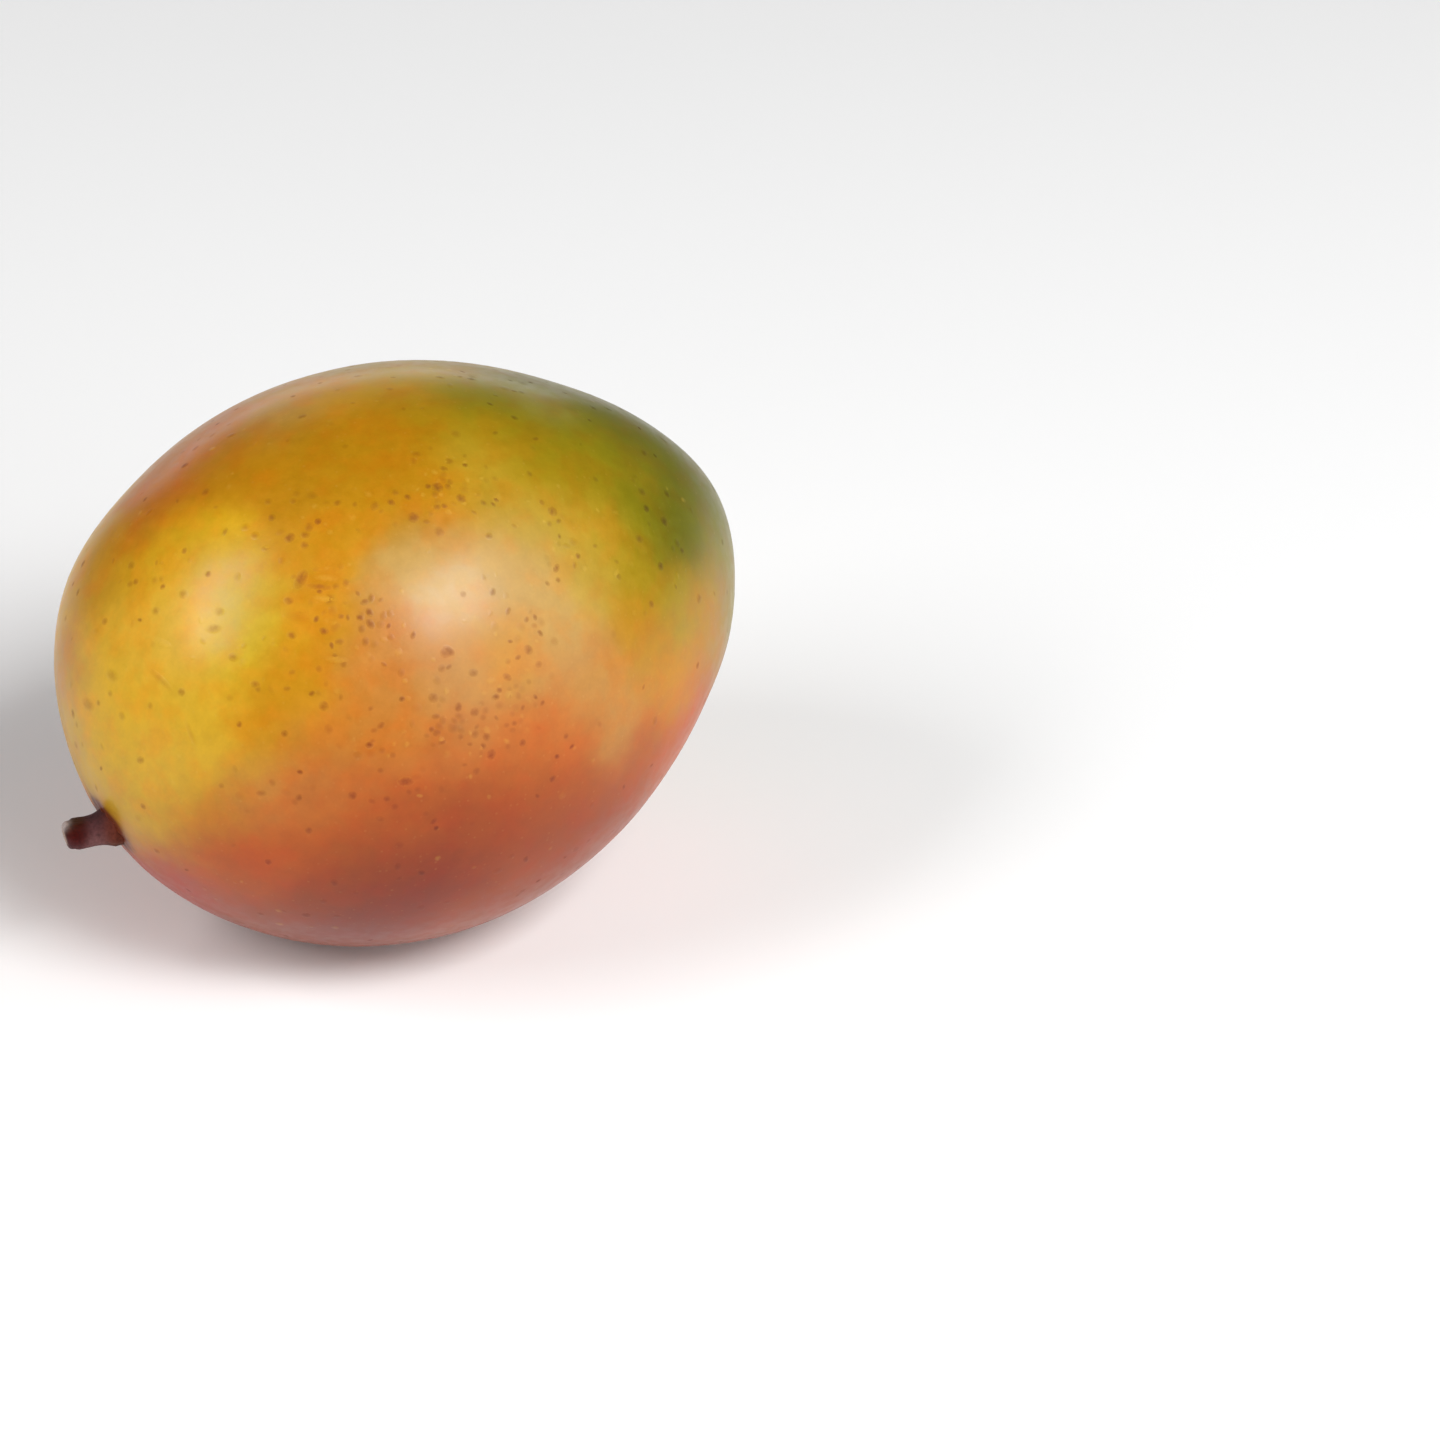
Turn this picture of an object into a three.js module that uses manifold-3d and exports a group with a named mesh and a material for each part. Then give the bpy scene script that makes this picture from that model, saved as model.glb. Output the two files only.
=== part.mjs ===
// A whole mango lying on its side, as picked: one solid fruit and the woody stub of its stalk.
// Millimetres, +Z up. The stalk end points to -X and the apex to +X. The origin is below the middle of
// the whole piece, on the surface that it rests on.
import * as THREE from 'three';
import { mergeVertices } from 'three/addons/utils/BufferGeometryUtils.js';
import Module from 'manifold-3d';

const wasm = await Module();
wasm.setup();

// ---- Driving dimensions of the fruit --------------------------------------------------------------

const HALF_LENGTH = 60; // stalk end to apex
const HALF_WIDTH = 48; // belly to back
const HALF_THICKNESS = 44.7; // cheek to cheek
const TAPER = 0.084; // how much slimmer the apex half is than the stalk half
const END_PINCH = 0.083; // how much both ends are drawn in
const BOW = 0.93; // how far both ends curve towards the back

// How the fruit lies: rolled about its length, and its stalk end dipped.
const ROLL = THREE.MathUtils.degToRad(49.5);
const DIP = THREE.MathUtils.degToRad(-8.6);
const REST_SPOT_DEPTH = 1.4; // how much the fruit is flattened where it rests

// Where the stalk grows, and where it points, in the fruit's own axes: length, back, cheek.
const STALK_SEAT = new THREE.Vector3(-1, -0.218, -0.09).normalize();
const STALK_AIM = new THREE.Vector3(-0.967, 0.218, -0.133).normalize();

// Low forms on the body: where they are, how wide they spread on the unit sphere, and how far they rise.
const BODY_FORMS = [
  { form: 'back shoulder', at: new THREE.Vector3(-0.8, 0.6, 0), spread: 0.3, rise: 1.4 },
  { form: 'stalk end', at: new THREE.Vector3(-0.99, 0.05, -0.13), spread: 0.3, rise: -0.64 },
  { form: 'back slope', at: new THREE.Vector3(0.62, 0.72, 0.3), spread: 0.3, rise: -0.4 },
  { form: 'apex', at: new THREE.Vector3(0.97, 0.08, 0.22), spread: 0.3, rise: 0.74 },
  { form: 'beak', at: new THREE.Vector3(0.86, -0.51, 0), spread: 0.2, rise: 0.7 },
  { form: 'sinus above the beak', at: new THREE.Vector3(0.66, -0.75, 0), spread: 0.24, rise: -0.4 },
  { form: 'stalk cavity', at: STALK_SEAT, spread: 0.12, rise: -0.5 },
];

const SKIN_SLICES = 84; // round the length
const SKIN_RINGS = 50; // from pole to pole

// ---- Driving dimensions of the stalk --------------------------------------------------------------

const STUB_LENGTH = 8.2; // from the skin to the broken tip
const STUB_RADIUS = 2.3;
const FOOT_FLARE = 2.4; // how much further out the foot reaches at the skin, on the side it leans to
const FOOT_FLARE_OPPOSITE = 0.8; // the same on the other side
const FOOT_HEIGHT = 1.8; // how fast the flare dies away
const KNOT_SWELL = 0.22; // the low swelling of the old joint near the tip
const KNOT_HEIGHT = 5.6;
const KNOT_SPREAD = 1.3;
const TIP_ROUNDING = 0.5;
const TIP_SLANT = 0.14; // slope of the broken tip across its width
const RIDGE_COUNT = 5;
const RIDGE_RISE = 0.13;
const STUB_START = -2.5; // under the skin, before the foot is trimmed to it
const STUB_SLICES = 30;
const STUB_STEPS = 12;

const ROOT_RADIUS = 1.9; // the core of the stalk that stands in the flesh
const ROOT_DEPTH = 3.2;
const ROOT_SLICES = 20;
const GROWTH_GAP = 0.3; // keeps stalk and fruit two separate solids

// ---- Helpers --------------------------------------------------------------------------------------

/** Merges a geometry's shared corners and hands it over as a solid. */
function solidFrom(geometry) {
  const bare = geometry.clone();
  bare.deleteAttribute('normal');
  bare.deleteAttribute('uv');
  const merged = mergeVertices(bare, 1e-5);
  return new wasm.Manifold(
    new wasm.Mesh({
      numProp: 3,
      vertProperties: new Float32Array(merged.attributes.position.array),
      triVerts: new Uint32Array(merged.index.array),
    }),
  );
}

/** Turns a solid back into a geometry with its own normals. */
function geometryFrom(solid) {
  const mesh = solid.getMesh();
  const geometry = new THREE.BufferGeometry();
  geometry.setAttribute('position', new THREE.BufferAttribute(mesh.vertProperties, mesh.numProp));
  geometry.setIndex(new THREE.BufferAttribute(mesh.triVerts, 1));
  geometry.computeVertexNormals();
  return geometry;
}

/** Moves every corner of a geometry by a rule that changes the given point in place. */
function warp(geometry, rule) {
  const position = geometry.attributes.position;
  const point = new THREE.Vector3();
  for (let i = 0; i < position.count; i += 1) {
    point.fromBufferAttribute(position, i);
    rule(point);
    position.setXYZ(i, point.x, point.y, point.z);
  }
  return geometry;
}

// ---- Fruit ----------------------------------------------------------------------------------------

/** The way the skin faces in a direction from the middle, low forms aside. */
function outwardAt(direction) {
  return new THREE.Vector3(
    direction.x / HALF_LENGTH,
    direction.y / HALF_WIDTH,
    direction.z / HALF_THICKNESS,
  ).normalize();
}

/** The point of the skin, or of a skin grown by `offset`, that lies in a direction from the middle. */
function skinPoint(direction, offset = 0) {
  const along = direction.x;
  const slim = 1 - TAPER * along - END_PINCH * along * along;
  const point = new THREE.Vector3(
    HALF_LENGTH * along,
    HALF_WIDTH * direction.y * slim + BOW * (along * along - 1 / 3),
    HALF_THICKNESS * direction.z * slim,
  );
  let raised = offset;
  for (const { at, spread, rise } of BODY_FORMS) {
    const away = direction.distanceToSquared(at.clone().normalize());
    raised += rise * Math.exp(-away / (spread * spread));
  }
  return point.addScaledVector(outwardAt(direction), raised);
}

// Turns the fruit's own axes into the way it lies.
const lying = new THREE.Matrix4().makeRotationFromEuler(new THREE.Euler(ROLL, DIP, 0, 'ZYX'));

/** The whole body as a closed skin, with its poles at the stalk end and the apex. */
function bodySolid(offset = 0) {
  const skin = new THREE.SphereGeometry(1, SKIN_SLICES, SKIN_RINGS);
  skin.rotateZ(Math.PI / 2);
  warp(skin, (point) => point.copy(skinPoint(point.clone().normalize(), offset)));
  skin.applyMatrix4(lying);
  return solidFrom(skin);
}

/** A block with its top at the rest spot, to flatten the underside with. */
function restBlock(body) {
  const lowest = body.boundingBox().min[2];
  const thickness = 20;
  const block = new THREE.BoxGeometry(4 * HALF_LENGTH, 4 * HALF_WIDTH, thickness);
  block.translate(0, 0, lowest + REST_SPOT_DEPTH - thickness / 2);
  return solidFrom(block);
}

// ---- Stalk ----------------------------------------------------------------------------------------

// Puts the stalk's own frame where it grows on the fruit: the foot at the origin, +Z along the stalk, and
// +X to the side that it leans to.
const leaningSide = outwardAt(STALK_SEAT).projectOnPlane(STALK_AIM).normalize().negate();
const stalkPlace = new THREE.Matrix4()
  .makeBasis(leaningSide, new THREE.Vector3().crossVectors(STALK_AIM, leaningSide), STALK_AIM)
  .setPosition(skinPoint(STALK_SEAT))
  .premultiply(lying);

/** How far the foot flares out at a height above the skin and an angle from the side it leans to. */
function footFlare(height, angle) {
  const reach = THREE.MathUtils.mapLinear(Math.cos(angle), -1, 1, FOOT_FLARE_OPPOSITE, FOOT_FLARE);
  return reach * Math.exp(-Math.max(height, 0) / FOOT_HEIGHT);
}

/** How far the stub swells at its old joint, at a height above the skin. */
function knotSwell(height) {
  return KNOT_SWELL * Math.exp(-(((height - KNOT_HEIGHT) / KNOT_SPREAD) ** 2));
}

/** The stub with its flared foot, low ridges and slanted broken tip, starting a little under the skin. */
function stubSolid() {
  const shoulder = STUB_LENGTH - TIP_ROUNDING;
  const profile = [new THREE.Vector2(0, STUB_START)];
  for (let step = 0; step <= STUB_STEPS; step += 1) {
    const height = THREE.MathUtils.lerp(STUB_START, shoulder, step / STUB_STEPS);
    profile.push(new THREE.Vector2(STUB_RADIUS, height));
  }
  profile.push(new THREE.Vector2(STUB_RADIUS - TIP_ROUNDING, STUB_LENGTH));
  profile.push(new THREE.Vector2(0, STUB_LENGTH));
  const stub = new THREE.LatheGeometry(profile, STUB_SLICES);
  stub.rotateX(Math.PI / 2);
  warp(stub, (point) => {
    const angle = Math.atan2(point.y, point.x);
    const ridge = RIDGE_RISE * Math.cos(RIDGE_COUNT * angle);
    const wider = footFlare(point.z, angle) + knotSwell(point.z) + ridge;
    const scale = 1 + wider / STUB_RADIUS;
    const nearTip = THREE.MathUtils.clamp(point.z / STUB_LENGTH, 0, 1) ** 4;
    point.set(point.x * scale, point.y * scale, point.z + nearTip * TIP_SLANT * point.x);
  });
  stub.applyMatrix4(stalkPlace);
  return solidFrom(stub);
}

/** The core of the stalk in the flesh, or, grown by the gap, the hole that it stands in. */
function rootSolid(gap = 0) {
  const top = STUB_LENGTH / 2;
  const bottom = -(ROOT_DEPTH + gap);
  const root = new THREE.CylinderGeometry(ROOT_RADIUS + gap, ROOT_RADIUS + gap, top - bottom, ROOT_SLICES);
  root.rotateX(Math.PI / 2);
  root.translate(0, 0, (top + bottom) / 2);
  root.applyMatrix4(stalkPlace);
  return solidFrom(root);
}

// ---- Assembly -------------------------------------------------------------------------------------

const body = bodySolid();
const fruitSolid = body.subtract(restBlock(body)).subtract(rootSolid(GROWTH_GAP));
const stemSolid = stubSolid().subtract(bodySolid(GROWTH_GAP)).add(rootSolid());

const fruit = new THREE.Mesh(
  geometryFrom(fruitSolid),
  new THREE.MeshStandardMaterial({ color: 0xc98a2c, roughness: 0.42, metalness: 0 }),
);
fruit.name = 'fruit';

const stem = new THREE.Mesh(
  geometryFrom(stemSolid),
  new THREE.MeshStandardMaterial({ color: 0x55323a, roughness: 0.8, metalness: 0 }),
);
stem.name = 'stem';

const group = new THREE.Group();
group.add(fruit, stem);

// The origin goes below the middle of the whole piece, at the height of the rest spot.
const bounds = new THREE.Box3().setFromObject(group, true);
const middle = bounds.getCenter(new THREE.Vector3());
group.position.set(-middle.x, -middle.y, -bounds.min.z);

export default group;
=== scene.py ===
"""Looks of a whole mango that lies on its side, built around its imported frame.

Everything is in metres, in the frame's own axes: +Z up, the stalk end towards -X and the apex towards +X.
The fruit also has axes of its own, in which its body is worked out: length, back and cheek.
A place on the skin is given as it lies, by bearing and height from the fruit's middle.
"""

from __future__ import annotations

import logging
import math
from dataclasses import dataclass, field
from enum import Enum
from typing import Sequence

import bpy
import numpy as np
from mathutils import Matrix, Quaternion, Vector, noise

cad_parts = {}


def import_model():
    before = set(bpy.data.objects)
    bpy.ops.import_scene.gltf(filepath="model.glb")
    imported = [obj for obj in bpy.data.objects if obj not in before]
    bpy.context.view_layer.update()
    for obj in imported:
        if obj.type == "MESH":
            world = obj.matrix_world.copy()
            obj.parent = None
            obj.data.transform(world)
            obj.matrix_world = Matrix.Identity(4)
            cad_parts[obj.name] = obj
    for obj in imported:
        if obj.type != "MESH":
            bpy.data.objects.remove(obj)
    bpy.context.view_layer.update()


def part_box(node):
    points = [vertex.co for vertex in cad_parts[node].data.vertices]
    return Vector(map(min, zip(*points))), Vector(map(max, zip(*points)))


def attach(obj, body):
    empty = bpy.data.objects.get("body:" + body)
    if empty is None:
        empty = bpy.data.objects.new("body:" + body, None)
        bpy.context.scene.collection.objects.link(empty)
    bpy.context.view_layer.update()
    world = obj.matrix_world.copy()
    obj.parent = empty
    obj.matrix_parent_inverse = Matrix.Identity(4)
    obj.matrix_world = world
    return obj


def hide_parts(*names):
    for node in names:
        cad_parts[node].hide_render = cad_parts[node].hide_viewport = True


MM = 0.001
BODY = "root"

# Names of the values that pieces carry for their materials.
GROUND = "ground"  # the colour under all marks
CORE = "core"  # 1 in the middle of a mark, 0 at its edge
TONE = "tone"  # how dark a mark is, or below 0 how pale
SPECKLING = "speckling"  # how thickly marks stand on the skin
CUT = "cut"  # 1 on the stalk's broken end

CORNER_DECIMALS = 7  # corners on a sphere of radius one that agree to this are one corner

# Where most values of a noise texture lie.
NOISE_LOW = 0.3
NOISE_MIDDLE = 0.5
NOISE_HIGH = 0.7

Colour = tuple[float, float, float]
Place = tuple[float, float]

log = logging.getLogger("mango")


# ---- Small maths -----------------------------------------------------------------------------------


def unit(vectors: np.ndarray | Sequence[float]) -> np.ndarray:
    """Scales a vector, or each row of an array of vectors, to length one.

    Args:
        vectors: One vector, or an array with one vector a row.

    Returns:
        The same, as an array, with every vector one unit long.
    """
    array = np.asarray(vectors, float)
    return array / np.linalg.norm(array, axis=-1, keepdims=True)


def towards(place: Place) -> np.ndarray:
    """The direction from the fruit's middle to a place on it as it lies.

    Args:
        place: Bearing and height in degrees. Bearing 0 is the apex end, 90 the far side, 180 the stalk end
            and 270 the near side. Height 90 is the top.

    Returns:
        The direction, one unit long.
    """
    bearing, height = math.radians(place[0]), math.radians(place[1])
    level = math.cos(height)
    return np.array([level * math.cos(bearing), level * math.sin(bearing), math.sin(height)])


def soft_bump(away: np.ndarray | float, spread: float) -> np.ndarray | float:
    """A soft bump of height one around zero that falls away over `spread`."""
    return np.exp(-((away / spread) ** 2))


def blended(layers: Sequence[tuple[np.ndarray, Colour]]) -> np.ndarray:
    """Blends colours, each by its weight.

    Args:
        layers: For each colour, its weight at every point, and its linear red, green and blue.

    Returns:
        One row of linear red, green and blue a point.
    """
    total, colours = 1e-9, 0.0  # a little over 0, so that a point that no colour reaches is black
    for weight, colour in layers:
        colours = colours + weight[:, None] * np.array(colour)
        total = total + weight[:, None]
    return colours / total


class Shift(Enum):
    """How far the noise is moved for each use of it, so that no two uses look alike."""

    NONE = 0.0
    SPLINTERS = 2.0
    SCAR = 3.0
    WRINKLES = 4.0
    FINE_EDGES = 5.0
    BRUISES = 8.0
    FINE_WRINKLES = 9.0


THREE_PARTS = (3.1, 17.7, 31.3)  # further shifts, for noise along three axes


def lumps(points: np.ndarray, grain: float, use: Shift = Shift.NONE, part: float = 0.0) -> np.ndarray:
    """Smooth noise at each point, from about -1 to 1.

    Args:
        points: One point a row.
        grain: Size of the lumps, in the points' own units.
        use: What the noise is for.
        part: A further shift, where one use takes several noises.

    Returns:
        One value a point.
    """
    shift = use.value + part
    moved = Vector((shift, 2.0 * shift, -shift))
    return np.array([noise.noise(Vector(point) / grain + moved) for point in points])


def lumps_in_space(points: np.ndarray, grain: float, use: Shift = Shift.NONE) -> np.ndarray:
    """Smooth noise with three parts at each point, to move the points by."""
    return np.stack([lumps(points, grain, use, part) for part in THREE_PARTS], axis=1)


# ---- Colours of the skin ---------------------------------------------------------------------------


class Pigment(Enum):
    """Colours of a ripening mango, as linear red, green and blue. Some also carry painted highlight, sheen
    or shade, as the notes beside them say.
    """

    LEMON = (0.7, 0.395, 0.004)
    # lemon with a painted highlight: paler and bluer, to widen the left softbox's reflection
    LEMON_AND_HIGHLIGHT = (0.7, 0.405, 0.03)
    # straw, partly painted highlight: its blue widens the left softbox's reflection
    STRAW_AND_HIGHLIGHT = (0.63, 0.37, 0.02)
    CITRON = (0.54, 0.355, 0.01)
    HONEY = (0.57, 0.325, 0.005)
    # pale sand, partly waxy bloom and partly painted highlight: it widens the front softbox's reflection and
    # lightens the upper-left rim like a reflection
    SAND_AND_SHEEN = (0.45, 0.26, 0.055)
    AMBER = (0.5, 0.225, 0.004)
    OCHRE = (0.465, 0.2, 0.002)
    BRONZE = (0.4, 0.185, 0.002)
    RUSSET = (0.48, 0.14, 0.003)
    LIME = (0.395, 0.245, 0.012)
    OLIVE = (0.31, 0.2, 0.002)
    # painted reflection: a pale grey-green that stands for a sheen on the olive end
    SAGE = (0.29, 0.235, 0.05)
    MOSS = (0.2, 0.165, 0.002)
    LEAF = (0.125, 0.12, 0.002)
    APRICOT = (0.46, 0.178, 0.024)
    # peach, partly painted highlight: its blue pales the skin round the front softbox's reflection
    PEACH_AND_SHEEN = (0.425, 0.195, 0.035)
    CORAL = (0.44, 0.112, 0.008)
    BRICK = (0.435, 0.074, 0.002)
    RUBY = (0.34, 0.067, 0.002)
    CRIMSON = (0.26, 0.04, 0.002)
    # deepest red, partly painted shade: it darkens the lower near side as if a neighbouring fruit shaded it
    MAROON_AND_SHADE = (0.17, 0.014, 0.001)
    ROSE = (0.36, 0.03, 0.01)


@dataclass(frozen=True)
class Tint:
    """A soft patch of colour: where its middle is, how wide it spreads on a sphere of radius one, and how
    strongly it counts against its neighbours."""

    at: Place
    spread: float
    pigment: Pigment
    strength: float = 1.0


NEAR_CHEEK = (
    # painted highlight: pale cream lemon widens the left softbox's reflection
    Tint((186, 22), 0.18, Pigment.LEMON_AND_HIGHLIGHT),
    Tint((188, 4), 0.16, Pigment.LEMON),
    # partly painted highlight: straw beside the left softbox's reflection
    Tint((202, 16), 0.12, Pigment.STRAW_AND_HIGHLIGHT),
    Tint((176, 27), 0.12, Pigment.AMBER),
    Tint((165, 24), 0.13, Pigment.AMBER),
    Tint((170, 8), 0.12, Pigment.AMBER),
    Tint((170, 36), 0.11, Pigment.RUSSET),
    Tint((158, 40), 0.12, Pigment.RUSSET),
    Tint((190, 39), 0.12, Pigment.HONEY),
    Tint((180, 32), 0.12, Pigment.LEMON),
    # painted highlight: pale cream lemon widens the left softbox's reflection
    Tint((193, 28), 0.1, Pigment.LEMON_AND_HIGHLIGHT),
    Tint((193, 44), 0.08, Pigment.LEMON),
    Tint((206, 36), 0.1, Pigment.CITRON),
    Tint((208, 26), 0.1, Pigment.CITRON),
    Tint((213, 33), 0.06, Pigment.CITRON),
    # partly painted highlight: straw beside the left softbox's reflection
    Tint((205, 10), 0.1, Pigment.STRAW_AND_HIGHLIGHT),
    Tint((213, 46), 0.12, Pigment.AMBER),
    Tint((222, 34), 0.12, Pigment.AMBER),
    Tint((222, 22), 0.11, Pigment.AMBER),
    Tint((240, 30), 0.14, Pigment.APRICOT),
    Tint((240, 17), 0.14, Pigment.APRICOT),
    # partly painted highlight: peach with raised blue round the front softbox's reflection
    Tint((256, 28), 0.14, Pigment.PEACH_AND_SHEEN),
    Tint((255, 17), 0.12, Pigment.PEACH_AND_SHEEN),
    # partly painted highlight: these pale sand tints widen the front softbox's reflection
    Tint((243, 46), 0.11, Pigment.SAND_AND_SHEEN),
    Tint((258, 48), 0.13, Pigment.SAND_AND_SHEEN),
    Tint((275, 45), 0.14, Pigment.SAND_AND_SHEEN),
    Tint((281, 33), 0.13, Pigment.SAND_AND_SHEEN),
    Tint((268, 27), 0.12, Pigment.OCHRE),
    Tint((275, 22), 0.12, Pigment.PEACH_AND_SHEEN),
)
SHOULDER = (
    Tint((148, 50), 0.15, Pigment.RUSSET),
    # partly painted reflection: pale sand lightens the upper-left rim
    Tint((148, 66), 0.12, Pigment.SAND_AND_SHEEN),
    Tint((160, 60), 0.13, Pigment.BRONZE),
    Tint((173, 56), 0.12, Pigment.OCHRE),
    Tint((190, 52), 0.13, Pigment.OCHRE),
    Tint((200, 65), 0.15, Pigment.BRONZE),
    Tint((190, 76), 0.13, Pigment.BRONZE),
    Tint((222, 55), 0.12, Pigment.AMBER),
    Tint((236, 65), 0.17, Pigment.BRONZE),
    Tint((240, 76), 0.14, Pigment.BRONZE),
    Tint((263, 62), 0.13, Pigment.OCHRE),
    Tint((282, 59), 0.12, Pigment.LIME),
    Tint((290, 69), 0.14, Pigment.LIME),
    Tint((280, 84), 0.1, Pigment.OLIVE),
    Tint((235, 86), 0.13, Pigment.BRONZE),
    Tint((125, 70), 0.18, Pigment.AMBER),
    Tint((80, 74), 0.2, Pigment.LIME),
)
APEX_END = (
    Tint((293, 49), 0.12, Pigment.LIME),
    Tint((305, 44), 0.13, Pigment.LIME),
    Tint((296, 37), 0.12, Pigment.LIME),
    Tint((311, 33), 0.11, Pigment.OLIVE),
    Tint((316, 52), 0.14, Pigment.OLIVE),
    Tint((318, 70), 0.15, Pigment.OLIVE),
    Tint((322, 36), 0.11, Pigment.MOSS),
    Tint((330, 52), 0.14, Pigment.MOSS),
    Tint((336, 63), 0.13, Pigment.MOSS),
    Tint((350, 74), 0.14, Pigment.MOSS),
    # painted reflection: pale grey-green sheen patch
    Tint((350, 60), 0.09, Pigment.SAGE),
    Tint((330, 27), 0.14, Pigment.LEAF),
    Tint((349, 34), 0.14, Pigment.LEAF),
    Tint((338, 42), 0.11, Pigment.MOSS),
    Tint((350, 55), 0.14, Pigment.MOSS),
    Tint((5, 50), 0.2, Pigment.LEAF),
    Tint((0, 22), 0.26, Pigment.LEAF),
    Tint((340, 4), 0.2, Pigment.MOSS),
    Tint((10, -8), 0.26, Pigment.OLIVE),
    Tint((316, 18), 0.12, Pigment.OLIVE),
    Tint((301, 17), 0.12, Pigment.BRONZE),
    Tint((328, 6), 0.15, Pigment.BRONZE),
    Tint((310, 3), 0.14, Pigment.OCHRE),
    Tint((335, -22), 0.22, Pigment.BRICK),
)
BLUSH = (
    Tint((188, -8), 0.12, Pigment.HONEY),
    Tint((199, 0), 0.12, Pigment.STRAW_AND_HIGHLIGHT),
    Tint((176, -4), 0.12, Pigment.HONEY),
    Tint((190, -16), 0.08, Pigment.AMBER),
    Tint((198, -8), 0.09, Pigment.HONEY),
    Tint((208, 4), 0.1, Pigment.HONEY),
    Tint((216, 12), 0.1, Pigment.AMBER),
    Tint((207, -4), 0.1, Pigment.AMBER),
    Tint((226, 11), 0.12, Pigment.APRICOT),
    Tint((217, 2), 0.1, Pigment.APRICOT),
    Tint((215, -4), 0.1, Pigment.CORAL),
    Tint((227, 2), 0.12, Pigment.CORAL),
    Tint((203, -13), 0.11, Pigment.CORAL),
    Tint((240, 10), 0.12, Pigment.CORAL),
    Tint((254, 11), 0.12, Pigment.CORAL),
    Tint((217, -10), 0.12, Pigment.BRICK),
    Tint((232, -4), 0.13, Pigment.RUBY),
    Tint((246, 2), 0.13, Pigment.RUBY),
    Tint((210, -19), 0.12, Pigment.BRICK),
    Tint((266, 9), 0.12, Pigment.CORAL),
    Tint((262, 1), 0.12, Pigment.RUBY),
    Tint((286, 16), 0.12, Pigment.PEACH_AND_SHEEN),
    Tint((292, 5), 0.14, Pigment.PEACH_AND_SHEEN),
    Tint((278, 7), 0.12, Pigment.CORAL),
    # Deep reds at the lower near side, partly painted shade: kept darker as if a neighbouring fruit, which
    # is not built, shaded them.
    Tint((240, -11), 0.13, Pigment.CRIMSON),
    Tint((226, -20), 0.14, Pigment.CRIMSON),
    Tint((212, -29), 0.14, Pigment.CRIMSON),
    Tint((256, -6), 0.14, Pigment.CRIMSON),
    Tint((277, -4), 0.14, Pigment.RUBY),
    Tint((270, -15), 0.18, Pigment.CRIMSON),
    Tint((300, -9), 0.18, Pigment.RUBY),
    Tint((318, -10), 0.18, Pigment.BRICK),
    Tint((292, -24), 0.2, Pigment.CRIMSON),
    # partly painted shade: the darkest reds of the lower near side
    Tint((248, -22), 0.16, Pigment.MAROON_AND_SHADE),
    Tint((232, -34), 0.18, Pigment.MAROON_AND_SHADE),
    Tint((270, -30), 0.3, Pigment.CRIMSON),
    Tint((195, -26), 0.14, Pigment.ROSE),
    Tint((250, -70), 0.5, Pigment.CRIMSON),
)
FAR_CHEEK = (
    Tint((152, 14), 0.2, Pigment.LEMON),
    Tint((122, 34), 0.28, Pigment.AMBER),
    Tint((82, 44), 0.28, Pigment.LIME),
    Tint((42, 44), 0.28, Pigment.OLIVE),
    Tint((130, -8), 0.28, Pigment.CORAL),
    Tint((96, 8), 0.32, Pigment.APRICOT),
    Tint((52, 8), 0.28, Pigment.HONEY),
    Tint((108, -35), 0.34, Pigment.BRICK),
    Tint((60, -32), 0.34, Pigment.CORAL),
    Tint((162, -28), 0.22, Pigment.BRICK),
)
SKIN_TINTS = NEAR_CHEEK + SHOULDER + APEX_END + BLUSH + FAR_CHEEK


def blended_tints(directions: np.ndarray, tints: Sequence[Tint]) -> np.ndarray:
    """Blends soft patches of colour into one colour for each direction.

    Args:
        directions: One direction from the fruit's middle a row, as it lies.
        tints: The patches.

    Returns:
        One row of linear red, green and blue a direction.
    """
    layers = []
    for tint in tints:
        away = np.linalg.norm(directions - towards(tint.at), axis=1)
        layers.append((tint.strength * soft_bump(away, tint.spread), tint.pigment.value))
    return blended(layers)


# ---- The fruit's body ------------------------------------------------------------------------------


@dataclass(frozen=True)
class BodyForm:
    """A low form on the body: where it lies in the fruit's own axes, how wide it spreads on a sphere of
    radius one, and how far it rises, in metres."""

    at: tuple[float, float, float]
    spread: float
    rise: float

    def raised(self, directions: np.ndarray) -> np.ndarray:
        """How far this form lifts the skin in each direction."""
        away = np.linalg.norm(directions - unit(self.at), axis=1)
        return self.rise * soft_bump(away, self.spread)


STALK_SEAT = (-1.0, -0.218, -0.09)
STALK_AIM = (-0.967, 0.218, -0.133)
BEAK = (0.86, -0.51, 0.0)
BODY_FORMS = {
    "back shoulder": BodyForm((-0.8, 0.6, 0.0), 0.3, 1.4 * MM),
    "stalk end": BodyForm((-0.99, 0.05, -0.13), 0.3, -0.64 * MM),
    "back slope": BodyForm((0.62, 0.72, 0.3), 0.3, -0.4 * MM),
    "apex": BodyForm((0.97, 0.08, 0.22), 0.3, 0.74 * MM),
    "beak": BodyForm(BEAK, 0.2, 0.7 * MM),
    "sinus above the beak": BodyForm((0.66, -0.75, 0.0), 0.24, -0.4 * MM),
    "stalk cavity": BodyForm(STALK_SEAT, 0.12, -0.5 * MM),
}


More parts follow.
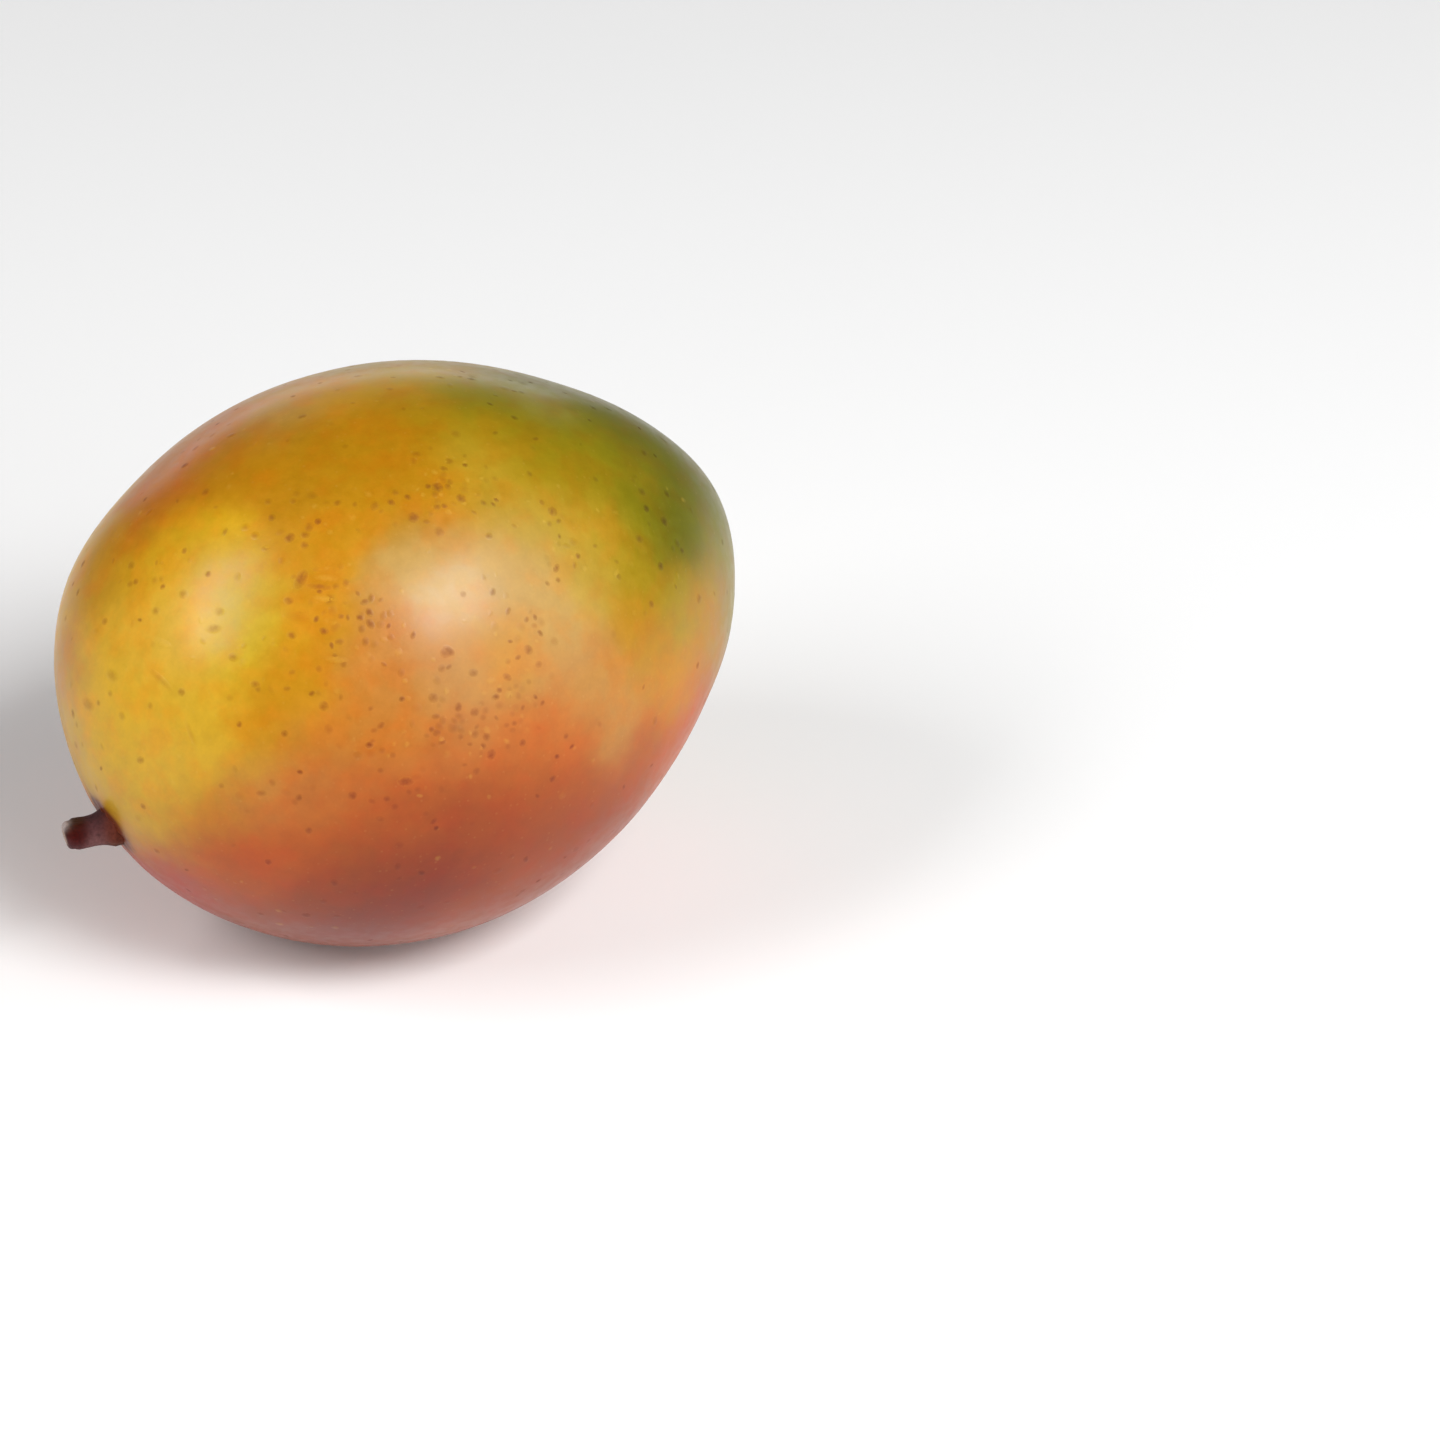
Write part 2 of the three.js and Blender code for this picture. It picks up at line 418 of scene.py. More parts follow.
@dataclass
class FruitBody:
    """The fruit's body as a formula: a point of the skin for every direction from its middle."""

    half_length: float = 60.0 * MM
    half_width: float = 48.0 * MM
    half_thickness: float = 44.7 * MM
    taper: float = 0.084
    end_pinch: float = 0.083
    bow: float = 0.93 * MM
    roll: float = math.radians(49.5)
    dip: float = math.radians(-8.6)
    rest_softness: float = 0.25 * MM
    dimple_depth: float = 0.1 * MM
    dimple_grain: float = 13.0 * MM
    settle_steps: int = 40
    aim_rounds: int = 12
    forms: dict[str, BodyForm] = field(default_factory=lambda: dict(BODY_FORMS))
    middle: np.ndarray = field(default_factory=lambda: np.zeros(3))

    def __post_init__(self) -> None:
        """Works out how the fruit lies."""
        self.lying = np.array(Matrix.Rotation(self.dip, 3, "Y") @ Matrix.Rotation(self.roll, 3, "X"))

    def outward(self, directions: np.ndarray) -> np.ndarray:
        """The way the skin faces in each direction, low forms aside, in the fruit's own axes."""
        return unit(directions / [self.half_length, self.half_width, self.half_thickness])

    def own_points(self, directions: np.ndarray) -> np.ndarray:
        """The skin's points in the fruit's own axes.

        Args:
            directions: One unit direction a row, in the fruit's own axes.

        Returns:
            One point a row, in metres.
        """
        length, back, cheek = directions.T
        bend = self.bow * (length**2 - 1 / 3)  # 0 on average over the body
        slim = 1 - self.taper * length - self.end_pinch * length**2
        plain = np.stack(
            [
                self.half_length * length,
                self.half_width * back * slim + bend,
                self.half_thickness * cheek * slim,
            ],
            axis=1,
        )
        raised = sum(form.raised(directions) for form in self.forms.values())
        return plain + self.outward(directions) * raised[:, None]

    def settle(self, low: Vector, high: Vector) -> None:
        """Finds where the fruit's middle lies, from the frame's box of the fruit.

        Args:
            low: Lowest corner of the fruit in the frame.
            high: Highest corner.
        """
        skin = self.own_points(sphere_directions(self.settle_steps)[0]) @ self.lying.T
        self.middle = (np.array(low) + np.array(high)) / 2 - (skin.min(axis=0) + skin.max(axis=0)) / 2
        self.middle[2] = high[2] - skin[:, 2].max()

    def own_towards(self, lying: np.ndarray) -> np.ndarray:
        """Finds the direction, in the fruit's own axes, of the skin that lies each way from the middle.

        Args:
            lying: One unit direction a row, from the fruit's middle as it lies.

        Returns:
            One unit direction a row.
        """
        aim = self.in_own_axes(lying)
        own = aim
        for _ in range(self.aim_rounds):
            own = unit(own + aim - unit(self.own_points(own)))
        return own

    def seen_from_middle(self, skin: np.ndarray) -> np.ndarray:
        """The direction of each point of the skin from the fruit's middle, as it lies."""
        return unit(skin - self.middle)

    def points(self, directions: np.ndarray) -> np.ndarray:
        """The skin's points as the fruit lies, faintly dimpled, and flattened where it rests.

        Args:
            directions: One unit direction a row, in the fruit's own axes.

        Returns:
            One point a row, in the frame's axes.
        """
        skin = self.own_points(directions)
        dimples = self.dimple_depth * lumps(skin, self.dimple_grain)
        skin = (skin + self.outward(directions) * dimples[:, None]) @ self.lying.T + self.middle
        height = skin[:, 2]
        skin[:, 2] = (height + np.sqrt(height**2 + self.rest_softness**2)) / 2
        return skin

    def as_it_lies(self, own: np.ndarray | Sequence[float]) -> np.ndarray:
        """Turns directions in the fruit's own axes into the frame's axes."""
        return np.asarray(own, float) @ self.lying.T

    def in_own_axes(self, lying: np.ndarray | Sequence[float]) -> np.ndarray:
        """Turns directions in the frame's axes into the fruit's own axes."""
        return np.asarray(lying, float) @ self.lying


def sphere_directions(steps: int) -> tuple[np.ndarray, np.ndarray]:
    """Even directions over a sphere, from the six sides of a cube.

    Args:
        steps: How many faces each side of the cube has along an edge.

    Returns:
        One direction a row, and the faces as rows of four row numbers, all pointing outwards.
    """
    line = np.tan(np.linspace(-1, 1, steps + 1) * math.pi / 4)
    s, t = np.meshgrid(line, line, indexing="ij")
    corner = np.arange((steps + 1) ** 2).reshape(steps + 1, steps + 1)
    quad = np.stack([corner[:-1, :-1], corner[1:, :-1], corner[1:, 1:], corner[:-1, 1:]], axis=-1)
    spots, quads = [], []
    for axis in range(3):
        for side in (-1, 1):
            cube = np.empty((*s.shape, 3))
            cube[..., axis] = side
            cube[..., (axis + 1) % 3] = s
            cube[..., (axis + 2) % 3] = t
            outwards = quad if side > 0 else quad[..., ::-1]
            quads.append(outwards.reshape(-1, 4) + len(spots) * corner.size)
            spots.append(unit(cube.reshape(-1, 3)))
    every = np.concatenate(spots)
    rounded = np.round(every, CORNER_DECIMALS)
    _, kept, joined = np.unique(rounded, axis=0, return_index=True, return_inverse=True)
    return every[kept], joined.ravel()[np.concatenate(quads)]


# ---- Meshes ----------------------------------------------------------------------------------------


def make_piece(
    name: str, points: np.ndarray, faces: np.ndarray | Sequence[Sequence[int]]
) -> bpy.types.Object:
    """Makes a smooth mesh object at the origin, with its place in its mesh.

    Args:
        name: Name of the piece.
        points: One point a row, in the frame's axes.
        faces: The faces, as row numbers.

    Returns:
        The object, linked to the scene.
    """
    mesh = bpy.data.meshes.new(name)
    mesh.from_pydata(np.asarray(points, float).tolist(), [], [[int(i) for i in face] for face in faces])
    mesh.update()
    mesh.shade_smooth()
    piece = bpy.data.objects.new(name, mesh)
    bpy.context.scene.collection.objects.link(piece)
    return piece


def give_values(piece: bpy.types.Object, name: str, values: np.ndarray) -> None:
    """Stores one number for each point of a piece.

    Args:
        piece: The mesh object.
        name: Name of the attribute.
        values: One number a point.
    """
    attribute = piece.data.attributes.new(name, "FLOAT", "POINT")
    attribute.data.foreach_set("value", np.asarray(values, np.float32))


def give_colours(piece: bpy.types.Object, name: str, colours: np.ndarray) -> None:
    """Stores one colour for each point of a piece.

    Args:
        piece: The mesh object.
        name: Name of the attribute.
        colours: One row of linear red, green and blue a point.
    """
    attribute = piece.data.attributes.new(name, "FLOAT_COLOR", "POINT")
    rgba = np.ones((len(colours), 4), np.float32)
    rgba[:, :3] = colours
    attribute.data.foreach_set("color", rgba.ravel())


def lathe_faces(rings: int, around: int) -> list[list[int]]:
    """Faces of a closed turned form: a first point, rings of points, and a last point.

    Args:
        rings: How many rings there are.
        around: How many points a ring has, counted anticlockwise as seen from the last point.

    Returns:
        The faces as row numbers. Row 0 is the first point and the highest row is the last point.
    """
    last = rings * around + 1
    faces = [[0, 1 + (i + 1) % around, 1 + i] for i in range(around)]
    for ring in range(rings - 1):
        low = 1 + ring * around
        for i in range(around):
            j = (i + 1) % around
            faces.append([low + i, low + j, low + around + j, low + around + i])
    top = last - around
    faces += [[top + i, top + (i + 1) % around, last] for i in range(around)]
    return faces


# ---- Node trees ------------------------------------------------------------------------------------


class NodeBench:
    """Builds a node tree: adds nodes, sets their plain values and links their sockets."""

    def __init__(self, tree: bpy.types.NodeTree) -> None:
        """Starts on a tree, which may already hold nodes."""
        self.tree = tree

    def add(self, kind: str, inputs: dict | None = None, **settings: object) -> bpy.types.Node:
        """Adds a node.

        Args:
            kind: The node's type name.
            inputs: For each input, by name or number, a plain value or an output socket to link from.
            **settings: The node's own settings.

        Returns:
            The node.
        """
        node = self.tree.nodes.new(kind)
        for name, value in settings.items():
            setattr(node, name, value)
        for key, value in (inputs or {}).items():
            self.feed(node.inputs[key], value)
        return node

    def feed(self, socket: bpy.types.NodeSocket, value: object) -> None:
        """Links an output socket to an input, or sets the input's plain value."""
        if isinstance(value, bpy.types.NodeSocket):
            self.tree.links.new(value, socket)
        elif socket.type == "RGBA":
            socket.default_value = (*value, 1.0)
        else:
            socket.default_value = value

    def sum(self, operation: str, *values: object) -> bpy.types.NodeSocket:
        """Adds a sum on numbers and returns its result."""
        inputs = dict(enumerate(values))
        return self.add("ShaderNodeMath", inputs, operation=operation).outputs[0]

    def ease(
        self, value: object, low: float, high: float, at_low: float = 0.0, at_high: float = 1.0
    ) -> bpy.types.NodeSocket:
        """Turns a value into another that eases from one end to the other.

        Args:
            value: The value's socket.
            low: Where the ease starts.
            high: Where it ends.
            at_low: The result at and below the start.
            at_high: The result at and above the end.

        Returns:
            The result's socket.
        """
        inputs = {"Value": value, "From Min": low, "From Max": high, "To Min": at_low, "To Max": at_high}
        return self.add("ShaderNodeMapRange", inputs, interpolation_type="SMOOTHSTEP").outputs["Result"]

    def grey(self, shade: object) -> bpy.types.NodeSocket:
        """Adds a grey of a given lightness and returns its colour."""
        return self.add("ShaderNodeCombineColor", {0: shade, 1: shade, 2: shade}).outputs[0]

    def blend(self, kind: str, share: object, under: object, over: object) -> bpy.types.NodeSocket:
        """Lays one colour over another and returns the result's socket.

        Args:
            kind: The way of mixing.
            share: How much of the upper colour there is.
            under: The lower colour.
            over: The upper colour.

        Returns:
            The result's socket.
        """
        node = self.add("ShaderNodeMix", data_type="RGBA", blend_type=kind)
        self.feed(node.inputs[0], share)
        self.feed(node.inputs[6], under)
        self.feed(node.inputs[7], over)
        return node.outputs[2]

    def clouds(self, where: object, grain: float, detail: float = 2.0) -> bpy.types.NodeSocket:
        """Adds noise with lumps of about `grain` metres and returns its value."""
        inputs = {"Vector": where, "Scale": 1.0 / grain, "Detail": detail}
        return self.add("ShaderNodeTexNoise", inputs).outputs[0]

    def value_of(self, name: str) -> bpy.types.NodeSocket:
        """Adds a reader of a number that the piece carries."""
        return self.add("ShaderNodeAttribute", attribute_name=name).outputs["Fac"]

    def colour_of(self, name: str) -> bpy.types.NodeSocket:
        """Adds a reader of a colour that the piece carries."""
        return self.add("ShaderNodeAttribute", attribute_name=name).outputs["Color"]


def new_material(name: str) -> tuple[bpy.types.Material, NodeBench, bpy.types.Node]:
    """Starts a material with a Principled shader.

    Args:
        name: The material's name.

    Returns:
        The material, the bench for its nodes, and its Principled node.
    """
    material = bpy.data.materials.new(name)
    material.use_nodes = True
    return material, NodeBench(material.node_tree), material.node_tree.nodes["Principled BSDF"]


# ---- Finishes --------------------------------------------------------------------------------------


@dataclass(frozen=True)
class SkinFinish:
    """Waxy mango skin: mottled ground colour, fine pale pores, marks with soft edges and a low sheen.

    The mottling has three noises, from coarse to fine: clouds, mottle and dust. The starts, tops and ends of
    marks and halos are given in a mark's own measure: 0 at its edge and 1 in its middle.
    """

    roughness: float = 0.34
    roughness_drift: float = 0.08
    specular: float = 0.28
    coat: float = 0.12
    coat_roughness: float = 0.2
    flesh_glow: float = 0.05
    glow_reach: tuple[float, float, float] = (1.0, 0.4, 0.15)
    glow_scale: float = 1.5 * MM
    cloud_grain: float = 8.0 * MM
    cloud_detail: float = 3.0
    mottle_grain: float = 2.2 * MM
    mottle_detail: float = 3.0
    mottle_depth: float = 0.23
    dust_grain: float = 0.55 * MM
    dust_depth: float = 0.3  # beside the two coarser noises
    dust_relief: float = 0.5
    warm_grain: float = 4.8 * MM
    warm_detail: float = 4.0
    warm_limits: tuple[float, float] = (0.4, 0.68)
    warm_tone: Colour = (1.06, 0.9, 0.7)
    pore_spacing: float = 1.25 * MM
    pore_edge: tuple[float, float] = (0.08, 0.26)  # in spacings from the pore's middle
    pore_luck: tuple[float, float] = (0.35, 0.9)
    pore_depth: float = 0.3
    pore_colour: Colour = (0.75, 0.46, 0.14)
    pore_strength: float = 0.06
    mark_tone: Colour = (0.5, 0.33, 0.0)
    mark_roughness: float = 0.2
    mark_start: float = 0.1
    raggedness: float = 0.22
    halo_top: float = 0.2
    halo_end: float = 0.4
    halo_strength: float = 0.08
    fleck_colour: Colour = (0.85, 0.55, 0.09)
    relief: float = 0.25
    relief_depth: float = 0.03 * MM

    def material(self) -> bpy.types.Material:
        """Builds the skin's material."""
        material, bench, shader = new_material("waxy mango skin")
        where = bench.add("ShaderNodeTexCoord").outputs["Object"]
        mottle = bench.clouds(where, self.mottle_grain, self.mottle_detail)
        dust = bench.clouds(where, self.dust_grain)
        colour = self.mottled(bench, where, mottle, dust)
        pores, pits = self.pores(bench, where)
        colour = bench.blend("MIX", pores, colour, self.pore_colour)
        colour, dark = self.marked(bench, colour, dust)
        bench.feed(shader.inputs["Base Color"], colour)
        half_drift = self.roughness_drift / 2
        drift = bench.ease(mottle, NOISE_LOW, NOISE_HIGH, -half_drift, half_drift)
        rough = bench.sum("MULTIPLY_ADD", dark, self.mark_roughness, self.roughness)
        bench.feed(shader.inputs["Roughness"], bench.sum("ADD", drift, rough))
        surface = bench.sum("MULTIPLY_ADD", dust, self.dust_relief, bench.sum("SUBTRACT", mottle, pits))
        bump = {"Strength": self.relief, "Distance": self.relief_depth, "Height": surface}
        bench.feed(shader.inputs["Normal"], bench.add("ShaderNodeBump", bump).outputs[0])
        shader.inputs["Specular IOR Level"].default_value = self.specular
        shader.inputs["Coat Weight"].default_value = self.coat
        shader.inputs["Coat Roughness"].default_value = self.coat_roughness
        shader.inputs["Subsurface Weight"].default_value = self.flesh_glow
        shader.inputs["Subsurface Radius"].default_value = self.glow_reach
        shader.inputs["Subsurface Scale"].default_value = self.glow_scale
        return material

    def mottled(
        self, bench: NodeBench, where: object, mottle: object, dust: object
    ) -> bpy.types.NodeSocket:
        """Breaks up the ground colour.

        Args:
            bench: The bench of the material.
            where: The place's socket.
            mottle: Socket of the middling noise.
            dust: Socket of the fine noise.

        Returns:
            The colour's socket.
        """
        clouds = bench.clouds(where, self.cloud_grain, self.cloud_detail)
        depth = self.mottle_depth
        middling = NOISE_MIDDLE * (2.0 + self.dust_depth) * depth
        shade = bench.sum("MULTIPLY_ADD", clouds, depth, 1.0 - middling)
        shade = bench.sum("MULTIPLY_ADD", mottle, depth, shade)
        shade = bench.sum("MULTIPLY_ADD", dust, self.dust_depth * depth, shade)
        ground = bench.colour_of(GROUND)
        colour = bench.blend("MULTIPLY", 1.0, ground, bench.grey(shade))
        warmth = bench.ease(bench.clouds(where, self.warm_grain, self.warm_detail), *self.warm_limits)
        return bench.blend("MULTIPLY", warmth, colour, self.warm_tone)

    def pores(self, bench: NodeBench, where: object) -> tuple[bpy.types.NodeSocket, bpy.types.NodeSocket]:
        """Works out the fine pale pores.

        Args:
            bench: The bench of the material.
            where: The place's socket.

        Returns:
            Sockets of how pale the skin is there, and of how deep the pore is.
        """
        cells = bench.add("ShaderNodeTexVoronoi", {"Vector": where, "Scale": 1.0 / self.pore_spacing})
        dot = bench.ease(cells.outputs["Distance"], *self.pore_edge, 1.0, 0.0)
        picked = bench.add("ShaderNodeSeparateColor", {0: cells.outputs["Color"]}).outputs[0]
        some = bench.ease(picked, *self.pore_luck)
        pale = bench.sum("MULTIPLY", bench.sum("MULTIPLY", dot, some), self.pore_strength)
        return pale, bench.sum("MULTIPLY", dot, self.pore_depth)

    def marked(
        self, bench: NodeBench, colour: object, dust: object
    ) -> tuple[bpy.types.NodeSocket, bpy.types.NodeSocket]:
        """Darkens or pales the colour by the marks that the piece carries, each dark one with a pale halo.

        Args:
            bench: The bench of the material.
            colour: The colour's socket.
            dust: Socket of the fine noise, which makes the marks ragged.

        Returns:
            Sockets of the marked colour, and of how dark the mark is there.
        """
        ragged = bench.ease(dust, NOISE_LOW, NOISE_HIGH, 1.0 - self.raggedness, 1.0 + self.raggedness)
        core = bench.sum("MULTIPLY", bench.value_of(CORE), ragged)
        tone = bench.value_of(TONE)
        rising = bench.ease(core, 0.0, self.halo_top)
        falling = bench.ease(core, self.halo_top, self.halo_end, 1.0, 0.0)
        ring = bench.sum("MULTIPLY", rising, falling)
        halo = bench.sum("MULTIPLY", ring, bench.sum("MAXIMUM", tone, 0.0))
        mark = bench.sum("MULTIPLY", bench.ease(core, self.mark_start, 1.0), tone)
        dark = bench.sum("MAXIMUM", mark, 0.0)
        pale = bench.sum("MAXIMUM", bench.sum("MULTIPLY", mark, -1.0), 0.0)
        pale = bench.sum("MULTIPLY_ADD", halo, self.halo_strength, pale)
        colour = bench.blend("MIX", pale, colour, self.fleck_colour)
        return bench.blend("MULTIPLY", dark, colour, self.mark_tone), dark


class Bark(Enum):
    """Colours of the dried stalk, as linear red, green and blue. Two also carry a painted sheen or
    highlight, as the notes beside them say.
    """

    PLUM = (0.09, 0.03, 0.032)
    DUSK = (0.075, 0.034, 0.038)
    # greyish mauve, partly painted sheen on the bark
    MAUVE_AND_SHEEN = (0.18, 0.08, 0.078)
    OXBLOOD = (0.045, 0.001, 0.0)
    RUST = (0.16, 0.032, 0.016)
    SMOKE = (0.05, 0.022, 0.01)
    # pale wood, partly a painted highlight on the rim of the broken end
    PALE_WOOD_AND_HIGHLIGHT = (0.62, 0.52, 0.5)


@dataclass(frozen=True)
class BarkFinish:
    """Dried, shrunken bark: streaks along the stalk, fine cracks and a dull surface."""

    least_roughness: float = 0.54
    most_roughness: float = 0.72
    specular: float = 0.08
    streak_grain: float = 0.5 * MM
    streak_detail: float = 4.0
    streak_depth: float = 0.55
    relief: float = 0.7
    relief_depth: float = 0.12 * MM
    cut_colour: Colour = (0.42, 0.3, 0.24)

    def material(self) -> bpy.types.Material:
        """Builds the stalk's material."""
        material, bench, shader = new_material("dried stalk bark")
        where = bench.add("ShaderNodeTexCoord").outputs["Object"]
        streaks = bench.clouds(where, self.streak_grain, self.streak_detail)
        depth = self.streak_depth
        shade = bench.sum("MULTIPLY_ADD", streaks, 2 * depth, 1.0 - depth)
        grey = bench.grey(shade)
        colour = bench.blend("MULTIPLY", 1.0, bench.colour_of(GROUND), grey)
        colour = bench.blend("MIX", bench.value_of(CUT), colour, self.cut_colour)
        bench.feed(shader.inputs["Base Color"], colour)
        dullness = bench.ease(streaks, NOISE_LOW, NOISE_HIGH, self.least_roughness, self.most_roughness)
        bench.feed(shader.inputs["Roughness"], dullness)
        bump = {"Strength": self.relief, "Distance": self.relief_depth, "Height": streaks}
        bench.feed(shader.inputs["Normal"], bench.add("ShaderNodeBump", bump).outputs[0])
        shader.inputs["Specular IOR Level"].default_value = self.specular
        return material


# ---- The stalk -------------------------------------------------------------------------------------


@dataclass(frozen=True)
class BarkPatch:
    """A soft patch of colour on the stalk: its height above the skin, its angle in degrees from the side
    that the stalk leans to, how far it spreads, in metres, and how strongly it counts."""

    height: float
    angle: float
    spread: float
    colour: Bark
    strength: float = 1.0


BARK_PATCHES = (
    BarkPatch(-0.5 * MM, 310.0, 1.8 * MM, Bark.RUST),
    BarkPatch(-0.2 * MM, 240.0, 1.8 * MM, Bark.RUST),
    BarkPatch(0.0, 170.0, 1.8 * MM, Bark.SMOKE),
    BarkPatch(0.0, 100.0, 2.0 * MM, Bark.RUST),
    BarkPatch(0.0, 20.0, 2.0 * MM, Bark.DUSK),
    BarkPatch(2.4 * MM, 335.0, 1.5 * MM, Bark.DUSK),
    BarkPatch(3.0 * MM, 275.0, 1.6 * MM, Bark.PLUM),
    # partly painted sheen: greyish mauve bark
    BarkPatch(3.2 * MM, 215.0, 1.9 * MM, Bark.MAUVE_AND_SHEEN),
    BarkPatch(3.2 * MM, 140.0, 2.0 * MM, Bark.PLUM),
    BarkPatch(3.2 * MM, 60.0, 2.0 * MM, Bark.PLUM),
    BarkPatch(6.0 * MM, 268.0, 1.4 * MM, Bark.OXBLOOD, 4.0),
    BarkPatch(6.6 * MM, 325.0, 1.5 * MM, Bark.SMOKE, 2.5),
    BarkPatch(6.6 * MM, 200.0, 1.4 * MM, Bark.PLUM),
    BarkPatch(6.2 * MM, 130.0, 1.8 * MM, Bark.OXBLOOD),
    BarkPatch(6.2 * MM, 50.0, 1.8 * MM, Bark.SMOKE),
    # partly painted highlight: pale wood on the rim by the broken end
    BarkPatch(8.1 * MM, 332.0, 1.0 * MM, Bark.PALE_WOOD_AND_HIGHLIGHT, 5.0),
    BarkPatch(8.2 * MM, 240.0, 0.9 * MM, Bark.PLUM),
    # partly painted sheen: greyish mauve bark
    BarkPatch(8.2 * MM, 120.0, 1.0 * MM, Bark.MAUVE_AND_SHEEN),
)


@dataclass
class Stalk:
    """The woody stub of the stalk: a flared foot in the skin, shrunken ridges, an old joint and a broken
    end."""

    body: FruitBody
    finish: BarkFinish = BarkFinish()
    length: float = 8.0 * MM
    radius: float = 2.3 * MM
    flare: float = 2.4 * MM
    flare_opposite: float = 0.8 * MM
    flare_height: float = 1.8 * MM
    knot_swell: float = 0.22 * MM
    knot_height: float = 5.6 * MM
    knot_spread: float = 1.3 * MM
    ridge_count: int = 5
    ridge_rise: float = 0.13 * MM
    wrinkle_rise: float = 0.09 * MM
    wrinkle_grain: float = 0.8 * MM
    wrinkle_stretch: float = 0.3  # how much slower the wrinkles change along the stalk
    calm_radius: float = 0.4 * MM  # nearer to the stalk's middle than this, wrinkles fade out
    fine_wrinkle_rise: float = 0.045 * MM
    fine_wrinkle_grain: float = 0.32 * MM
    tip_rounding: float = 1.0 * MM
    tip_slant: float = 0.14
    tip_hollow: float = 0.3 * MM
    slant_onset: int = 4  # how late, towards the tip, the slant sets in
    ring_rise: float = 0.07 * MM
    ring_height: float = 0.4 * MM  # above the knot
    ring_spread: float = 0.3 * MM
    groove_depth: float = 0.08 * MM
    groove_height: float = 1.1 * MM  # above the knot
    groove_spread: float = 0.35 * MM
    joint_sway: float = 0.3 * MM  # how far ring and groove swing up and down
    break_edge: float = 0.25  # how far into the broken end its rounded edge reaches
    break_dip: float = 0.35 * MM
    splinter_rise: float = 0.1 * MM
    splinter_grain: float = 0.5 * MM
    bare_start: float = 0.15  # how far into the broken end bare wood begins to show
    bare_ease: float = 0.2
    sunk: float = 1.6 * MM
    around: int = 96
    foot_shares: tuple[float, ...] = (0.35, 0.7)
    steps: int = 64
    edge_steps: int = 5
    cap_steps: int = 10

    def __post_init__(self) -> None:
        """Works out the stalk's own frame on the fruit."""
        seat = unit(STALK_SEAT)
        aim = unit(STALK_AIM)
        facing = self.body.outward(seat[None])[0]
        lean = -unit(facing - aim * (facing @ aim))
        self.turn = self.body.lying @ np.stack([lean, np.cross(aim, lean), aim], axis=1)
        self.foot = self.body.own_points(seat[None])[0] @ self.body.lying.T + self.body.middle

    def swollen(self, height: float, angle: np.ndarray) -> np.ndarray:
        """How far the bark stands out beyond the stalk's plain radius.

        Args:
            height: Height above the skin.
            angle: Angles from the side that the stalk leans to.

        Returns:
            One distance an angle.
        """
        foot = self.foot_flare(angle) * math.exp(-max(height, 0.0) / self.flare_height)
        above_knot = height - self.knot_height + self.joint_sway * np.sin(2 * angle)
        knot = self.knot_swell * soft_bump(height - self.knot_height, self.knot_spread)
        ring = self.ring_rise * soft_bump(above_knot - self.ring_height, self.ring_spread)
        groove = -self.groove_depth * soft_bump(above_knot - self.groove_height, self.groove_spread)
        ridges = self.ridge_rise * np.cos(self.ridge_count * angle)
        return foot + knot + ring + groove + ridges

    def foot_flare(self, angle: np.ndarray) -> np.ndarray:
        """How far the foot flares out at the skin, at each angle from the side that the stalk leans to."""
        middle = (self.flare + self.flare_opposite) / 2
        return middle + (self.flare - self.flare_opposite) / 2 * np.cos(angle)

    def beyond_foot(self, skin: np.ndarray) -> tuple[np.ndarray, np.ndarray]:
        """Finds how the skin lies round the stalk.

        Args:
            skin: One point of the skin a row, in the frame's axes.

        Returns:
            For each point, how far it is beyond the edge of the foot, and its angle from the side that the
            stalk leans to.
        """
        across, over, along = ((skin - self.foot) @ self.turn).T
        angle = np.arctan2(over, across)
        beyond = np.hypot(across, over) - self.radius - self.foot_flare(angle)
        return np.where(np.abs(along) < self.length * 2, np.maximum(beyond, 0.0), 1.0), angle

    def rows(self) -> list[tuple[float, float, float]]:
        """The rings of the stalk from its foot to its tip.

        Returns:
            For each ring its height, the share of the full radius that it has, and how far it is into the
            broken end, from 0 on the bark to 1 in the middle.
        """
        rows = [(-self.sunk, share, 0.0) for share in self.foot_shares]
        for step in range(self.steps + 1):
            share = step / self.steps
            rows.append((-self.sunk + share * (self.length - self.tip_rounding + self.sunk), 1.0, 0.0))
        inset = self.tip_rounding / self.radius
        edge = self.break_edge
        for step in range(1, self.edge_steps + 1):
            bend = step / self.edge_steps * math.pi / 2
            height = self.length - self.tip_rounding * (1 - math.sin(bend))
            rows.append((height, 1.0 - inset * (1 - math.cos(bend)), edge * step / self.edge_steps))
        for step in range(1, self.cap_steps):
            into = step / self.cap_steps
            rows.append((self.length, (1.0 - inset) * (1 - into), edge + (1.0 - edge) * into))
        return rows

    def colours(self, heights: np.ndarray, angles: np.ndarray) -> np.ndarray:
        """The bark's colour at each point.

        Args:
            heights: Heights above the skin.
            angles: Angles from the side that the stalk leans to.

        Returns:
            One row of linear red, green and blue a point.
        """
        layers = []
        for patch in BARK_PATCHES:
            across = self.radius * 2 * np.sin((angles - math.radians(patch.angle)) / 2)
            away = np.hypot(heights - patch.height, across)
            layers.append((patch.strength * soft_bump(away, patch.spread), patch.colour.value))
        return blended(layers)

